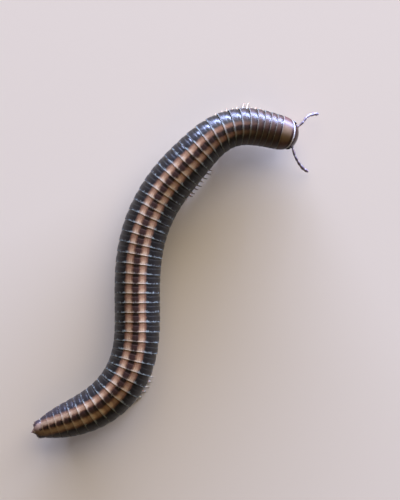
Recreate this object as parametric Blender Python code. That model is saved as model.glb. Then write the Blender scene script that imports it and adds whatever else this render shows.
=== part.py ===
"""A striped millipede at life size, as closed solids, one for each named part or length of the body.

Lengths are in metres, with +Z up. The animal rests on its feet on the plane z = 0. Seen from above,
its tail lies at the lower left and its head at the upper right. Places along the body are measured
from the tip of the tail towards the head, on the line through the middle of the rings.
"""

import math
import random

import bmesh
import bpy
import numpy as np
from mathutils import Matrix, Vector

MM = 0.001

# Body line, in plan and in height
BODY_LENGTH = 36.0 * MM
TAIL_TIP = (-11.13 * MM, -12.42 * MM)
TAIL_HEADING = 18.7
BENDS = (
    (2.3 * MM, 13.8 * MM, 71.7),
    (14.6 * MM, 27.4 * MM, -44.0),
    (27.4 * MM, 34.0 * MM, -60.4),
)
TAIL_HEIGHT = 1.66 * MM
RISES = (
    (0.5 * MM, 9.0 * MM, 0.62 * MM),
    (22.0 * MM, 29.5 * MM, 0.42 * MM),
    (29.5 * MM, 36.0 * MM, -0.70 * MM),
)
LINE_STEP = 0.1 * MM

# Thickness of the body
BODY_RADIUS = 1.757 * MM
TAIL_TAPER = 2.62 * MM
TAIL_BLUNTNESS = 0.7
WAIST = (24.0 * MM, 31.5 * MM, 0.33 * MM)
NECK = (32.0 * MM, 35.0 * MM, 0.10 * MM)
BELLY_FLATNESS = 0.93
BODY_SIDES = 20

# Rings: the collar plate is the first, and the last stands before the tail piece
RING_COUNT = 49
LAST_RIM = 1.0 * MM
COLLAR_RIM = 34.46 * MM
FRONT_CROWDING = 0.66
FRONT_CROWDED_RINGS = (4, 11)
TAIL_CROWDING = 0.75
TAIL_CROWDED_RINGS = (44, 50)
RINGS_PER_LENGTH = 4
SUTURE = (0.60, 0.70)
SUTURE_DROPS = (0.015 * MM, 0.07 * MM)
FRONT_DROP = 0.10 * MM
LENGTH_GAP = 0.24 * MM
SMALL_GAP = 0.10 * MM
LEAST_STEP = 0.03 * MM

# Legs: one pair on each ring from the second to the last but two
LEG_RINGS = (2, 47)
LEG_RADIUS = 0.25 * MM
LEG_SHARE_OF_PITCH = 0.36
LEG_PLACE_ON_RING = 0.38
LEG_SIDES = 5
LEG_ROOT_ACROSS = 0.27 * MM
LEG_ROOT_DEPTH = 0.24 * MM
LEG_REACH = 0.93
LEG_LEAN = 0.22 * MM
LEG_SWING = 0.14 * MM
LEG_SWING_RINGS = 9
LEG_VARIATION = 0.035 * MM
LONG_LEGS_RIGHT = ((8.3 * MM, 1.6 * MM, 0.36 * MM), (25.4 * MM, 2.2 * MM, 0.36 * MM))
LONG_LEGS_LEFT = ((31.5 * MM, 0.6 * MM, 0.62 * MM), (31.4 * MM, 2.9 * MM, 0.31 * MM))
LONG_LEG_LEAN = 0.5
LONG_LEG_PLATEAU = 1.5
FOOT_RADIUS = 0.09 * MM
ANKLE_HEIGHT = 0.20 * MM
KNEE_RAISED = 0.12 * MM
# Joints between the root and the foot: shares of the reach outward, of the height of the belly, of the
# lean and of the thickness
LEG_HIP = (0.40, 0.74, 0.2, 1.0)
LEG_KNEE = (0.76, 0.50, 0.6, 0.86)
LEG_ANKLE = (0.97, 0.0, 0.95, 0.56)

# Collar plate, a saddle over the back of the head
COLLAR_FRONT = 35.62 * MM
COLLAR_SIDE_SETBACK = 0.55 * MM
COLLAR_WALL = 0.22 * MM
COLLAR_HALF_ANGLE = 112.0
COLLAR_SIDES = 16
COLLAR_STATIONS = 5
COLLAR_FRONT_DROP = 0.14 * MM

# Head
HEAD_PLACE = 35.16 * MM
HEAD_DROP = 0.16 * MM
HEAD_HALF_HEIGHT = 1.05 * MM
HEAD_FRONT = 0.84 * MM
HEAD_BACK = 0.66 * MM
HEAD_HALF_WIDTH = 1.12 * MM
HEAD_ROUNDNESS = 2.05
FACE_SLOPE = 0.40
CHEEK_SLOPE = 0.50
NAPE_SLOPE = 0.35
FACE_CURVE = 1.6
HEAD_SIDES = 20
HEAD_LEVELS = 10
HEAD_LOWER_LEVELS = (-1.0, -0.8, -0.55, -0.27)
SURFACE_NUDGE = 0.03
EYE_TURN = 70.0
EYE_LEVEL = 0.30
EYE_HALF_SIZES = (0.25 * MM, 0.17 * MM, 0.16 * MM)
EYE_SUNK = 0.09 * MM
SOCKET_TURN = 44.0
SOCKET_LEVEL = 0.06
SOCKET_DEPTH = 0.16 * MM
JAW_CENTRE = (-0.04 * MM, 0.76 * MM, -0.50 * MM)
JAW_HALF_SIZES = (0.62 * MM, 0.44 * MM, 0.52 * MM)
LIP_CENTRE = (-0.12 * MM, 0.0, -1.12 * MM)
LIP_HALF_SIZES = (0.55 * MM, 0.52 * MM, 0.30 * MM)

# Feelers: places of the joints forward and outward from the head's foremost point, and their height
FEELER_RIGHT = (
    (-0.08 * MM, 1.20 * MM, 1.86 * MM),
    (0.20 * MM, 1.56 * MM, 1.70 * MM),
    (0.56 * MM, 1.92 * MM, 1.36 * MM),
    (0.95 * MM, 2.19 * MM, 0.90 * MM),
    (1.42 * MM, 2.32 * MM, 0.42 * MM),
)
FEELER_LEFT = (
    (0.03 * MM, 1.06 * MM, 1.88 * MM),
    (0.14 * MM, 1.44 * MM, 1.84 * MM),
    (0.34 * MM, 1.80 * MM, 1.62 * MM),
    (0.68 * MM, 2.06 * MM, 1.22 * MM),
    (1.10 * MM, 2.20 * MM, 0.80 * MM),
)
FEELER_RADIUS = 0.20 * MM
FEELER_CLUB = 0.05 * MM
FEELER_TIP = 0.10 * MM
FEELER_STATIONS = 11
FEELER_SIDES = 6

# Tail piece
TAIL_FRONT = 0.90 * MM
TAIL_BACK = 0.43 * MM
TAIL_MIDDLE_SHARE = 0.93
TAIL_BACK_SHARE = 0.80
SPUR_ROOT = 0.85 * MM
SPUR_RADIUS = 0.26 * MM
SPUR_TIP_RADIUS = 0.09 * MM
SPUR_HEIGHT = 0.36 * MM
SPUR_TIP_HEIGHT = 0.30 * MM
SPUR_SHARES = (0.0, 0.4, 0.75, 1.0)
SPUR_CURVE = 1.5
SPUR_FLATNESS = 0.8
SPUR_SIDES = 8
VALVE_CENTRE = (0.52 * MM, 0.25 * MM, -0.14 * MM)
VALVE_HALF_SIZES = (0.27 * MM, 0.20 * MM, 0.42 * MM)
SCALE_CENTRE = (0.62 * MM, 0.0, -0.52 * MM)
SCALE_HALF_SIZES = (0.28 * MM, 0.24 * MM, 0.12 * MM)

SMOOTH_ANGLE = math.radians(38)

# Colours in sRGB hex, with the roughness of each waxy or bare cuticle
RING_FINISH = ("3b342d", 0.34)
COLLAR_FINISH = ("5d3f2c", 0.28)
HEAD_FINISH = ("4a2c21", 0.30)
EYE_FINISH = ("15110f", 0.22)
FEELER_FINISH = ("7a6a68", 0.45)
JAW_FINISH = ("6d4b38", 0.34)
LIP_FINISH = ("8f7058", 0.40)
TAIL_FINISH = ("a28064", 0.36)
VALVE_FINISH = ("6b4c3c", 0.36)


def smooth(t):
    """0 below t = 0, 1 above t = 1, with a smooth step between."""
    t = min(max(t, 0.0), 1.0)
    return t * t * (3 - 2 * t)


def steps(place, changes):
    """The sum of smooth changes, each given by its start, its end and its size."""
    return sum(size * smooth((place - start) / (end - start)) for start, end, size in changes)


def line_points():
    """Places along the body line and the plan coordinates there."""
    places = np.arange(0.0, BODY_LENGTH + 2 * LINE_STEP, LINE_STEP)
    headings = np.radians([TAIL_HEADING + steps(s + LINE_STEP / 2, BENDS) for s in places])
    x = TAIL_TIP[0] + LINE_STEP * np.concatenate(([0.0], np.cumsum(np.cos(headings))[:-1]))
    y = TAIL_TIP[1] + LINE_STEP * np.concatenate(([0.0], np.cumsum(np.sin(headings))[:-1]))
    return places, x, y


LINE = line_points()


def axis_height(place):
    return TAIL_HEIGHT + steps(place, RISES)


def body_radius(place):
    """The body tapers to the tail, narrows behind the head and again at the collar plate."""
    taper = (1 - math.exp(-place / TAIL_TAPER)) ** TAIL_BLUNTNESS
    narrowing = steps(place, (WAIST, NECK))
    return BODY_RADIUS * taper - narrowing


def frame_at(place, level=False):
    """The body line at a place: the centre, and unit vectors forward, left and up."""
    heading = math.radians(TAIL_HEADING + steps(place, BENDS))
    rise = (axis_height(place + LINE_STEP) - axis_height(place - LINE_STEP)) / (2 * LINE_STEP)
    slope = 0.0 if level else math.atan(rise)
    x = np.interp(place, LINE[0], LINE[1])
    y = np.interp(place, LINE[0], LINE[2])
    centre = Vector((x, y, axis_height(place)))
    flat = Vector((math.cos(heading), math.sin(heading), 0.0))
    left = Vector((-math.sin(heading), math.cos(heading), 0.0))
    forward = flat * math.cos(slope) + Vector((0.0, 0.0, math.sin(slope)))
    return centre, forward, left, forward.cross(left)


def rim_places():
    """The place of each ring's rear rim, by ring number."""
    pitches = {}
    for ring in range(2, RING_COUNT + 1):
        first, full = FRONT_CROWDED_RINGS
        front = FRONT_CROWDING + (1 - FRONT_CROWDING) * smooth((ring - first) / (full - first))
        first, full = TAIL_CROWDED_RINGS
        tail = 1 - (1 - TAIL_CROWDING) * smooth((ring - first) / (full - first))
        pitches[ring] = front * tail
    scale = (COLLAR_RIM - LAST_RIM) / sum(pitches.values())
    rims = {1: COLLAR_RIM}
    for ring in range(2, RING_COUNT + 1):
        rims[ring] = rims[ring - 1] - pitches[ring] * scale
    return rims


RIMS = rim_places()


def mesh_from(bm, name):
    """A mesh from a bmesh, with its faces turned outwards."""
    bmesh.ops.recalc_face_normals(bm, faces=bm.faces)
    mesh = bpy.data.meshes.new(name)
    bm.to_mesh(mesh)
    bm.free()
    return mesh


def object_from(mesh, name):
    piece = bpy.data.objects.new(name, mesh)
    bpy.context.scene.collection.objects.link(piece)
    return piece


def loft(name, loops):
    """A closed object through loops of like points. A loop of one point closes an end as a pole."""
    bm = bmesh.new()
    rows = [[bm.verts.new(point) for point in loop] for loop in loops]
    for here, there in zip(rows, rows[1:]):
        count = max(len(here), len(there))
        for i in range(count):
            j = (i + 1) % count
            corners = [here[i % len(here)], here[j % len(here)]]
            corners += [there[j % len(there)], there[i % len(there)]]
            bm.faces.new(list(dict.fromkeys(corners)))
    for row in (rows[0], rows[-1]):
        if len(row) > 1:
            bm.faces.new(row)
    return object_from(mesh_from(bm, name), name)


def round_loop(middle, across, over, radius, sides, flatness=1.0):
    """Points round a middle, which can be flattened in the second direction."""
    loop = []
    for j in range(sides):
        turn = 2 * math.pi * j / sides
        aside = across * (radius * math.cos(turn))
        loop.append(middle + aside + over * (flatness * radius * math.sin(turn)))
    return loop


def ellipsoid(name, matrix, half_sizes, grow=0.0, sides=14, levels=8):
    """A closed ball, stretched to half sizes in the matrix's own directions."""
    bm = bmesh.new()
    scale = Matrix.Diagonal([half + grow for half in half_sizes] + [1.0])
    bmesh.ops.create_uvsphere(
        bm, u_segments=sides, v_segments=levels, radius=1.0, matrix=matrix @ scale
    )
    return object_from(mesh_from(bm, name), name)


def axes_matrix(origin, x_axis, y_axis, z_axis):
    matrix = Matrix((x_axis, y_axis, z_axis)).transposed().to_4x4()
    matrix.translation = origin
    return matrix


def keep_largest_surface(mesh):
    """Removes every closed surface but the one that holds the most."""
    bm = bmesh.new()
    bm.from_mesh(mesh)
    bmesh.ops.triangulate(bm, faces=bm.faces)
    left_over = set(bm.faces)
    surfaces = []
    while left_over:
        front = [left_over.pop()]
        surface = list(front)
        while front:
            face = front.pop()
            for edge in face.edges:
                for other in edge.link_faces:
                    if other in left_over:
                        left_over.remove(other)
                        front.append(other)
                        surface.append(other)
        surfaces.append(surface)
    surfaces.sort(key=surface_volume)
    dropped = [face for surface in surfaces[:-1] for face in surface]
    bmesh.ops.delete(bm, geom=dropped, context="FACES")
    bm.to_mesh(mesh)
    bm.free()


def surface_volume(faces):
    """The volume inside triangles that face outwards."""
    corners = [[vert.co for vert in face.verts] for face in faces]
    return sum(a.dot(b.cross(c)) for a, b, c in corners) / 6


def combine(target, others, operation):
    """Unites the other objects with the target, or cuts them from it, and removes them."""
    group = bpy.data.collections.new("joined pieces")
    bpy.context.scene.collection.children.link(group)
    for other in others:
        group.objects.link(other)
    modifier = target.modifiers.new("joined pieces", "BOOLEAN")
    modifier.operation = operation
    modifier.operand_type = "COLLECTION"
    modifier.collection = group
    graph = bpy.context.evaluated_depsgraph_get()
    mesh = bpy.data.meshes.new_from_object(target.evaluated_get(graph))
    target.modifiers.clear()
    target.data = mesh
    for other in others:
        bpy.data.objects.remove(other)
    bpy.data.collections.remove(group)
    keep_largest_surface(mesh)


def linear(channel):
    return channel / 12.92 if channel <= 0.04045 else ((channel + 0.055) / 1.055) ** 2.4


def finish(piece, name, colour, roughness):
    """Names a piece, shades it smooth and gives it its own cuticle."""
    piece.name = name
    piece.data.name = name
    material = bpy.data.materials.new(f"{name}_cuticle")
    material.use_nodes = True
    shader = material.node_tree.nodes["Principled BSDF"]
    channels = [int(colour[i : i + 2], 16) / 255 for i in (0, 2, 4)]
    shader.inputs["Base Color"].default_value = (*map(linear, channels), 1.0)
    shader.inputs["Roughness"].default_value = roughness
    shader.inputs["Metallic"].default_value = 0.0
    piece.data.materials.clear()
    piece.data.materials.append(material)
    piece.data.shade_smooth()
    piece.data.set_sharp_from_angle(angle=SMOOTH_ANGLE)


def body_loop(place, radius):
    """A loop round the body, round above and a little flat below."""
    centre, forward, left, up = frame_at(place)
    loop = []
    for i in range(BODY_SIDES):
        angle = 2 * math.pi * i / BODY_SIDES
        height = math.cos(angle) * (1.0 if math.cos(angle) > 0 else BELLY_FLATNESS)
        loop.append(centre + left * (radius * math.sin(angle)) + up * (radius * height))
    return loop


def ring_stations(ring, end):
    """Places and radii along one ring, from its rear rim to an end in front."""
    start, front = RIMS[ring], RIMS[ring - 1]
    pitch = front - start
    profile = [
        (start, 0.0),
        (start + SUTURE[0] * pitch, SUTURE_DROPS[0]),
        (start + SUTURE[1] * pitch, SUTURE_DROPS[1]),
        (front, FRONT_DROP),
    ]
    kept = [(place, drop) for place, drop in profile if place < end - LEAST_STEP]
    last_drop = np.interp(end, [place for place, _ in profile], [drop for _, drop in profile])
    return [(place, body_radius(place) - drop) for place, drop in kept + [(end, last_drop)]]


def further_reach(place, stretches):
    """How much further out a leg reaches, full in the middle of a stretch and nothing at its ends."""
    reaches = []
    for middle, half, most in stretches:
        reaches.append(most * smooth(LONG_LEG_PLATEAU * (1 - abs(place - middle) / half)))
    return max(reaches)


def leg(ring, side, wobble):
    """One leg, from its root in the belly to a small flat foot on the floor."""
    pitch = RIMS[ring - 1] - RIMS[ring]
    place = RIMS[ring] + LEG_PLACE_ON_RING * pitch
    centre, forward, left, up = frame_at(place, level=True)
    radius = body_radius(place)
    size = radius / BODY_RADIUS
    belly = centre.z - BELLY_FLATNESS * radius
    stretches = LONG_LEGS_LEFT if side > 0 else LONG_LEGS_RIGHT
    further = further_reach(place, stretches)
    reach = LEG_REACH * radius + further + wobble
    swing = LEG_SWING * math.sin(2 * math.pi * ring / LEG_SWING_RINGS + side)
    lean = LEG_LEAN + swing + LONG_LEG_LEAN * further + wobble
    thickness = min(LEG_RADIUS, LEG_SHARE_OF_PITCH * pitch)
    across = LEG_ROOT_ACROSS * size
    joints = [(across, belly + LEG_ROOT_DEPTH, 0.0, thickness)]
    for bend, raised in ((LEG_HIP, 0.0), (LEG_KNEE, KNEE_RAISED), (LEG_ANKLE, ANKLE_HEIGHT)):
        out = across + bend[0] * (reach - across)
        joints.append((out, bend[1] * belly + raised, bend[2] * lean, bend[3] * thickness))
    joints.append((reach, 0.0, lean, FOOT_RADIUS))
    ground = Vector((centre.x, centre.y, 0.0))
    points = [
        ground + left * (side * out) + forward * ahead + Vector((0.0, 0.0, height))
        for out, height, ahead, _ in joints
    ]
    loops = []
    for i, point in enumerate(points):
        before, after = points[max(i - 1, 0)], points[min(i + 1, len(points) - 1)]
        along = Vector((0.0, 0.0, -1.0)) if i == len(points) - 1 else (after - before).normalized()
        outward = along.cross(forward).normalized()
        ahead = outward.cross(along)
        loops.append(round_loop(point, ahead, outward, joints[i][3], LEG_SIDES))
    return loft("leg", loops)


def build_lengths():
    """The lengths of the trunk, each of a few rings in one piece with its legs."""
    draw = random.Random(7)
    for first in range(2, RING_COUNT + 1, RINGS_PER_LENGTH):
        last = min(first + RINGS_PER_LENGTH - 1, RING_COUNT)
        stations = []
        for ring in range(last, first - 1, -1):
            gap = SMALL_GAP if ring == 2 else LENGTH_GAP
            end = RIMS[ring - 1] - (gap if ring == first else 0.0)
            stations += ring_stations(ring, end)
        name = f"rings_{first:02d}_{last:02d}"
        trunk = loft(name, [body_loop(place, radius) for place, radius in stations])
        legs = []
        for ring in range(first, last + 1):
            if LEG_RINGS[0] <= ring <= LEG_RINGS[1]:
                for side in (1, -1):
                    legs.append(leg(ring, side, draw.uniform(-LEG_VARIATION, LEG_VARIATION)))
        combine(trunk, legs, "UNION")
        finish(trunk, name, *RING_FINISH)


def collar_shell(name, grow=0.0):
    """The collar plate, a bent saddle with a wall, set back at its sides. It can be grown all round."""
    half_angle = math.radians(COLLAR_HALF_ANGLE)
    half_angle += grow / BODY_RADIUS
    columns = []
    for i in range(COLLAR_SIDES + 1):
        turn = half_angle * (2 * i / COLLAR_SIDES - 1)
        front = COLLAR_FRONT - COLLAR_SIDE_SETBACK * 2 * math.sin(turn / 2) ** 2 + grow
        back = COLLAR_RIM + LEAST_STEP - grow
        outer, inner = [], []
        for j in range(COLLAR_STATIONS):
            share = j / (COLLAR_STATIONS - 1)
            place = back + (front - back) * share
            centre, forward, left, up = frame_at(place)
            sag = COLLAR_FRONT_DROP * share**2
            radius = body_radius(place) - sag
            height = math.cos(turn) * (1.0 if math.cos(turn) > 0 else BELLY_FLATNESS)
            outward = left * math.sin(turn) + up * height
            outer.append(centre + outward * (radius + grow))
            inner.append(centre + outward * (radius - COLLAR_WALL - grow))
        columns.append(outer + inner[::-1])
    return loft(name, columns)


def build_collar():
    collar = collar_shell("collum")
    finish(collar, "collum", *COLLAR_FINISH)


def head_axes():
    centre, forward, left, up = frame_at(HEAD_PLACE)
    return centre - up * HEAD_DROP, forward, left, up


def head_outline(level):
    """Reach forward, backward and sideways at a level from -1, the mouth, to 1, the crown."""
    if level > 0:
        dome = (1 - level**HEAD_ROUNDNESS) ** (1 / HEAD_ROUNDNESS)
        return HEAD_FRONT * dome, HEAD_BACK * dome, HEAD_HALF_WIDTH * dome
    front = HEAD_FRONT * (1 - FACE_SLOPE * (-level) ** FACE_CURVE)
    back = HEAD_BACK * (1 - NAPE_SLOPE * (-level))
    width = HEAD_HALF_WIDTH * (1 - CHEEK_SLOPE * (-level) ** FACE_CURVE)
    return front, back, width


def head_point(turn, level, grow=0.0):
    """A point of the head's surface, by its turn from the front towards the left and its level."""
    centre, forward, left, up = head_axes()
    front, back, width = head_outline(level)
    ahead = math.cos(turn) * ((front if math.cos(turn) > 0 else back) + grow)
    aside = math.sin(turn) * (width + grow)
    return centre + forward * ahead + left * aside + up * (level * (HEAD_HALF_HEIGHT + grow))


def head_form(name, grow=0.0):
    """The head capsule without its pockets, which can be grown all round."""
    centre, forward, left, up = head_axes()
    turns = [2 * math.pi * i / HEAD_SIDES for i in range(HEAD_SIDES)]
    levels = list(HEAD_LOWER_LEVELS)
    for j in range(HEAD_LEVELS - 1):
        levels.append(math.sin(math.pi / 2 * j / (HEAD_LEVELS - 1)))
    loops = [[head_point(turn, level, grow) for turn in turns] for level in levels]
    loops.append([centre + up * (HEAD_HALF_HEIGHT + grow)])
    return loft(name, loops)


def surface_frame(turn, level):
    """A point of the head's surface, with the direction outwards and two directions along it."""
    nudge = math.radians(2)
    point = head_point(turn, level)
    around = (head_point(turn + nudge, level) - head_point(turn - nudge, level)).normalized()
    above, below = head_point(turn, level + SURFACE_NUDGE), head_point(turn, level - SURFACE_NUDGE)
    upward = (above - below).normalized()
    outward = around.cross(upward).normalized()
    return point, outward, around, outward.cross(around)


def eye(name, side, grow=0.0):
    point, outward, around, upward = surface_frame(side * math.radians(EYE_TURN), EYE_LEVEL)
    matrix = axes_matrix(point - outward * EYE_SUNK, around, upward, outward)
    return ellipsoid(name, matrix, EYE_HALF_SIZES, grow)


def curve_through(points, stations):
    """Evenly numbered stations on a smooth curve through the points."""
    spots = [points[0]] + list(points) + [points[-1]]
    curve = []
    for i in range(stations):
        share = i / (stations - 1) * (len(points) - 1)
        k = min(int(share), len(points) - 2)
        t = share - k
        a, b, c, d = spots[k : k + 4]
        bend = (2 * a - 5 * b + 4 * c - d) * t**2 + (3 * b - a - 3 * c + d) * t**3
        curve.append((2 * b + (c - a) * t + bend) / 2)
    return curve


def feeler(name, side, joints):
    """A feeler, from its socket in the head through its joints to a blunt tip behind a slight club."""
    tip, forward, left, up = frame_at(BODY_LENGTH, level=True)
    point, outward, around, upward = surface_frame(side * math.radians(SOCKET_TURN), SOCKET_LEVEL)
    knots = [point - outward * (SOCKET_DEPTH - SMALL_GAP)]
    for ahead, out, height in joints:
        knots.append(Vector((tip.x, tip.y, height)) + forward * ahead + left * (side * out))
    points = curve_through(knots, FEELER_STATIONS)
    loops = []
    for i, here in enumerate(points):
        before, after = points[max(i - 1, 0)], points[min(i + 1, len(points) - 1)]
        along = (after - before).normalized()
        across = along.cross(Vector((0.0, 0.0, 1.0))).normalized()
        over = across.cross(along)
        share = i / (len(points) - 1)
        radius = FEELER_RADIUS + FEELER_CLUB * smooth(2 * share - 1)
        if i == len(points) - 1:
            radius = FEELER_TIP
        loops.append(round_loop(here, across, over, radius, FEELER_SIDES))
    return loft(name, loops)


def socket(side):
    point, outward, around, upward = surface_frame(side * math.radians(SOCKET_TURN), SOCKET_LEVEL)
    matrix = axes_matrix(point, around, upward, outward)
    half = FEELER_RADIUS + SMALL_GAP
    return ellipsoid("socket", matrix, (half, half, SOCKET_DEPTH))


def head_local(name, place, half_sizes, side=1.0, grow=0.0):
    """A ball in the head's own directions."""
    centre, forward, left, up = head_axes()
    ahead, aside, above = place
    origin = centre + forward * ahead + left * (side * aside) + up * above
    return ellipsoid(name, axes_matrix(origin, forward, left, up), half_sizes, grow)


def build_head():
    """The head capsule, its eyes, feelers and jaws, and the plate that closes the mouth from below."""
    head = head_form("head")
    cutters = [collar_shell("room for the collar", SMALL_GAP)]
    for side in (1, -1):
        cutters.append(eye("room for an eye", side, SMALL_GAP))
        cutters.append(socket(side))
    combine(head, cutters, "DIFFERENCE")
    finish(head, "head", *HEAD_FINISH)
    for word, side, joints in (("left", 1, FEELER_LEFT), ("right", -1, FEELER_RIGHT)):
        finish(eye(f"eye_{word}", side), f"eye_{word}", *EYE_FINISH)
        finish(feeler(f"antenna_{word}", side, joints), f"antenna_{word}", *FEELER_FINISH)
        jaw = head_local(f"mandible_{word}", JAW_CENTRE, JAW_HALF_SIZES, side)
        cutters = [head_form("head room", SMALL_GAP), collar_shell("collar room", SMALL_GAP)]
        combine(jaw, cutters, "DIFFERENCE")
        finish(jaw, f"mandible_{word}", *JAW_FINISH)
    lip = head_local("gnathochilarium", LIP_CENTRE, LIP_HALF_SIZES)
    cutters = [head_form("head room", SMALL_GAP)]
    for side in (1, -1):
        cutters.append(head_local("jaw room", JAW_CENTRE, JAW_HALF_SIZES, side, SMALL_GAP))
    combine(lip, cutters, "DIFFERENCE")
    finish(lip, "gnathochilarium", *LIP_FINISH)


def tail_local(name, place, half_sizes, side=1.0, grow=0.0):
    """A ball in the tail's own directions, at a place along the body line."""
    along, aside, above = place
    centre, forward, left, up = frame_at(along)
    origin = centre + left * (side * aside) + up * above
    return ellipsoid(name, axes_matrix(origin, forward, left, up), half_sizes, grow, 12, 8)


def build_tail():
    """The tail piece with its spur above and its scale below, and the two valves that close it."""
    radius = body_radius(TAIL_FRONT)
    stations = (
        (TAIL_FRONT, radius),
        (0.5 * (TAIL_FRONT + TAIL_BACK), TAIL_MIDDLE_SHARE * radius),
        (TAIL_BACK, TAIL_BACK_SHARE * radius),
    )
    tail = loft("telson", [body_loop(place, width) for place, width in stations])
    spur = []
    for share in SPUR_SHARES:
        centre, forward, left, up = frame_at(SPUR_ROOT * (1 - share))
        height = SPUR_HEIGHT + (SPUR_TIP_HEIGHT - SPUR_HEIGHT) * share
        width = SPUR_RADIUS + (SPUR_TIP_RADIUS - SPUR_RADIUS) * share**SPUR_CURVE
        spur.append(round_loop(centre + up * height, left, up, width, SPUR_SIDES, SPUR_FLATNESS))
    scale = tail_local("scale", SCALE_CENTRE, SCALE_HALF_SIZES)
    combine(tail, [loft("spur", spur), scale], "UNION")
    valve_rooms = []
    for side in (1, -1):
        valve_rooms.append(
            tail_local("valve room", VALVE_CENTRE, VALVE_HALF_SIZES, side, SMALL_GAP)
        )
    combine(tail, valve_rooms, "DIFFERENCE")
    finish(tail, "telson", *TAIL_FINISH)
    for word, side in (("left", 1), ("right", -1)):
        valve = tail_local(f"anal_valve_{word}", VALVE_CENTRE, VALVE_HALF_SIZES, side)
        finish(valve, f"anal_valve_{word}", *VALVE_FINISH)


for old in list(bpy.data.objects):
    bpy.data.objects.remove(old)
build_lengths()
build_collar()
build_head()
build_tail()
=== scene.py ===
"""Dresses the striped millipede: its rings, legs, tail piece, collar plate, head, feelers and jaws.

Lengths are in metres, with +Z up. Places along the body are measured from the tip of the tail
towards the head, on the line through the middle of the rings.
"""

import random
from math import atan, atan2, copysign, cos, exp, hypot, pi, radians, sin, sqrt

import bmesh
import bpy
import numpy as np
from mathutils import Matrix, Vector


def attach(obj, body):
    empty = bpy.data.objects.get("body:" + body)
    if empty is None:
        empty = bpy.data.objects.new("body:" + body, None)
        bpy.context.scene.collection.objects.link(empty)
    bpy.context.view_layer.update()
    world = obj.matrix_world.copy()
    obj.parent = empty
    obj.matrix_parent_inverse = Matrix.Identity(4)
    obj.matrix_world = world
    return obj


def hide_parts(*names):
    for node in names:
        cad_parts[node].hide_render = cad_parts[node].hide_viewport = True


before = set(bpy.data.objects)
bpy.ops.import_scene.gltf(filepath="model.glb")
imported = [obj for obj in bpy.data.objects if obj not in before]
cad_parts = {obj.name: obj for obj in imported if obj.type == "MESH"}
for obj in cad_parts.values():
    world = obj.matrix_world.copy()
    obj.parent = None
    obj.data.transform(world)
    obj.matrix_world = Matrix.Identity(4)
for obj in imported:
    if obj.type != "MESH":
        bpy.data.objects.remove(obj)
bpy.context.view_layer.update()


# Trunk rings: 48 stiff rings of limy cuticle, each pushed a little way under the rim of the ring in
# front. The rear part of a ring is finely fluted and ends in a thin pale rim; the front part is smooth.
# The rings ride on the body line, so that a bend opens them on its outer side and shuts them inside.
MM = 0.001
BODY_LENGTH = 36.0 * MM
TAIL_TIP = (-11.13 * MM, -12.42 * MM)
TAIL_HEADING = 18.7
BENDS = ((2.3 * MM, 13.8 * MM, 71.7), (14.6 * MM, 27.4 * MM, -44.0), (27.4 * MM, 34.0 * MM, -60.4))
TAIL_HEIGHT = 1.66 * MM
RISES = (
    (0.5 * MM, 9.0 * MM, 0.62 * MM), (22.0 * MM, 29.5 * MM, 0.42 * MM), (29.5 * MM, 36.0 * MM, -0.70 * MM),
)
LINE_STEP = 0.1 * MM
BODY_RADIUS = 1.757 * MM
TAIL_TAPER = 2.62 * MM
TAIL_BLUNTNESS = 0.7
WAIST = (24.0 * MM, 31.5 * MM, 0.33 * MM)
NECK = (32.0 * MM, 35.0 * MM, 0.10 * MM)
BELLY_FLATNESS = 0.93
RING_COUNT = 49
LAST_RIM = 1.0 * MM
COLLAR_RIM = 34.46 * MM
FRONT_CROWDING = 0.66
FRONT_CROWDED_RINGS = (4, 11)
TAIL_CROWDING = 0.75
TAIL_CROWDED_RINGS = (44, 50)
RINGS_PER_LENGTH = 4

# Half of a ring's section, from the rear rim forward outside and back inside: the share of the ring's
# pitch, then how much further forward, how deep below the surface, and how strongly it is fluted
RING_PROFILE = (
    (0.00, 0.004 * MM, 0.018 * MM, 0.0),
    (0.00, 0.018 * MM, 0.004 * MM, 0.0),
    (0.00, 0.050 * MM, 0.000 * MM, 0.0),
    (0.00, 0.072 * MM, 0.005 * MM, 0.2),
    (0.00, 0.110 * MM, 0.001 * MM, 1.0),
    (0.36, 0.000 * MM, -0.004 * MM, 1.0),
    (0.58, 0.000 * MM, 0.000 * MM, 1.0),
    (0.63, 0.000 * MM, 0.004 * MM, 0.5),
    (0.69, 0.000 * MM, 0.018 * MM, 0.0),
    (0.74, 0.000 * MM, 0.018 * MM, 0.0),
    (0.87, 0.000 * MM, 0.022 * MM, 0.0),
    (1.00, 0.000 * MM, 0.032 * MM, 0.0),
    (1.00, 0.180 * MM, 0.100 * MM, 0.0),
    (1.00, 0.340 * MM, 0.200 * MM, 0.0),
    (1.00, 0.320 * MM, 0.270 * MM, 0.0),
    (0.64, 0.000 * MM, 0.240 * MM, 0.0),
    (0.52, 0.000 * MM, 0.050 * MM, 0.0),
    (0.00, 0.012 * MM, 0.034 * MM, 0.0),
)
STRIAE = 74
POINTS_PER_STRIA = 4
STRIA_DEPTH = 0.014 * MM
STRIA_SHARPNESS = 3.0
# The flutes' depth: by how much the back has less than the flanks and the belly more, and the flanks' own
STRIA_ON_FLANK = (-0.3, 0.7)
# How much of its strip of the flat layout a ring fills
STRIP_FILL = 0.98
SEAM = 0.001 * MM
FULL_SIZE_RADIUS = 1.45 * MM
ROLLS = ((7.0 * MM, 15.0 * MM, 3.5), (23.5 * MM, 29.0 * MM, -9.5))


def smooth(t):
    """0 below t = 0, 1 above t = 1, with a smooth step between."""
    t = min(max(t, 0.0), 1.0)
    return t * t * (3 - 2 * t)


def gone(place, stretch):
    """How much of a stretch is behind a place, from 0 at its start to 1 at its end."""
    start, end = stretch
    return smooth((place - start) / (end - start))


def steps(place, changes):
    """The sum of smooth changes, each given by its start, its end and its size."""
    return sum(size * gone(place, (start, end)) for start, end, size in changes)


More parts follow.
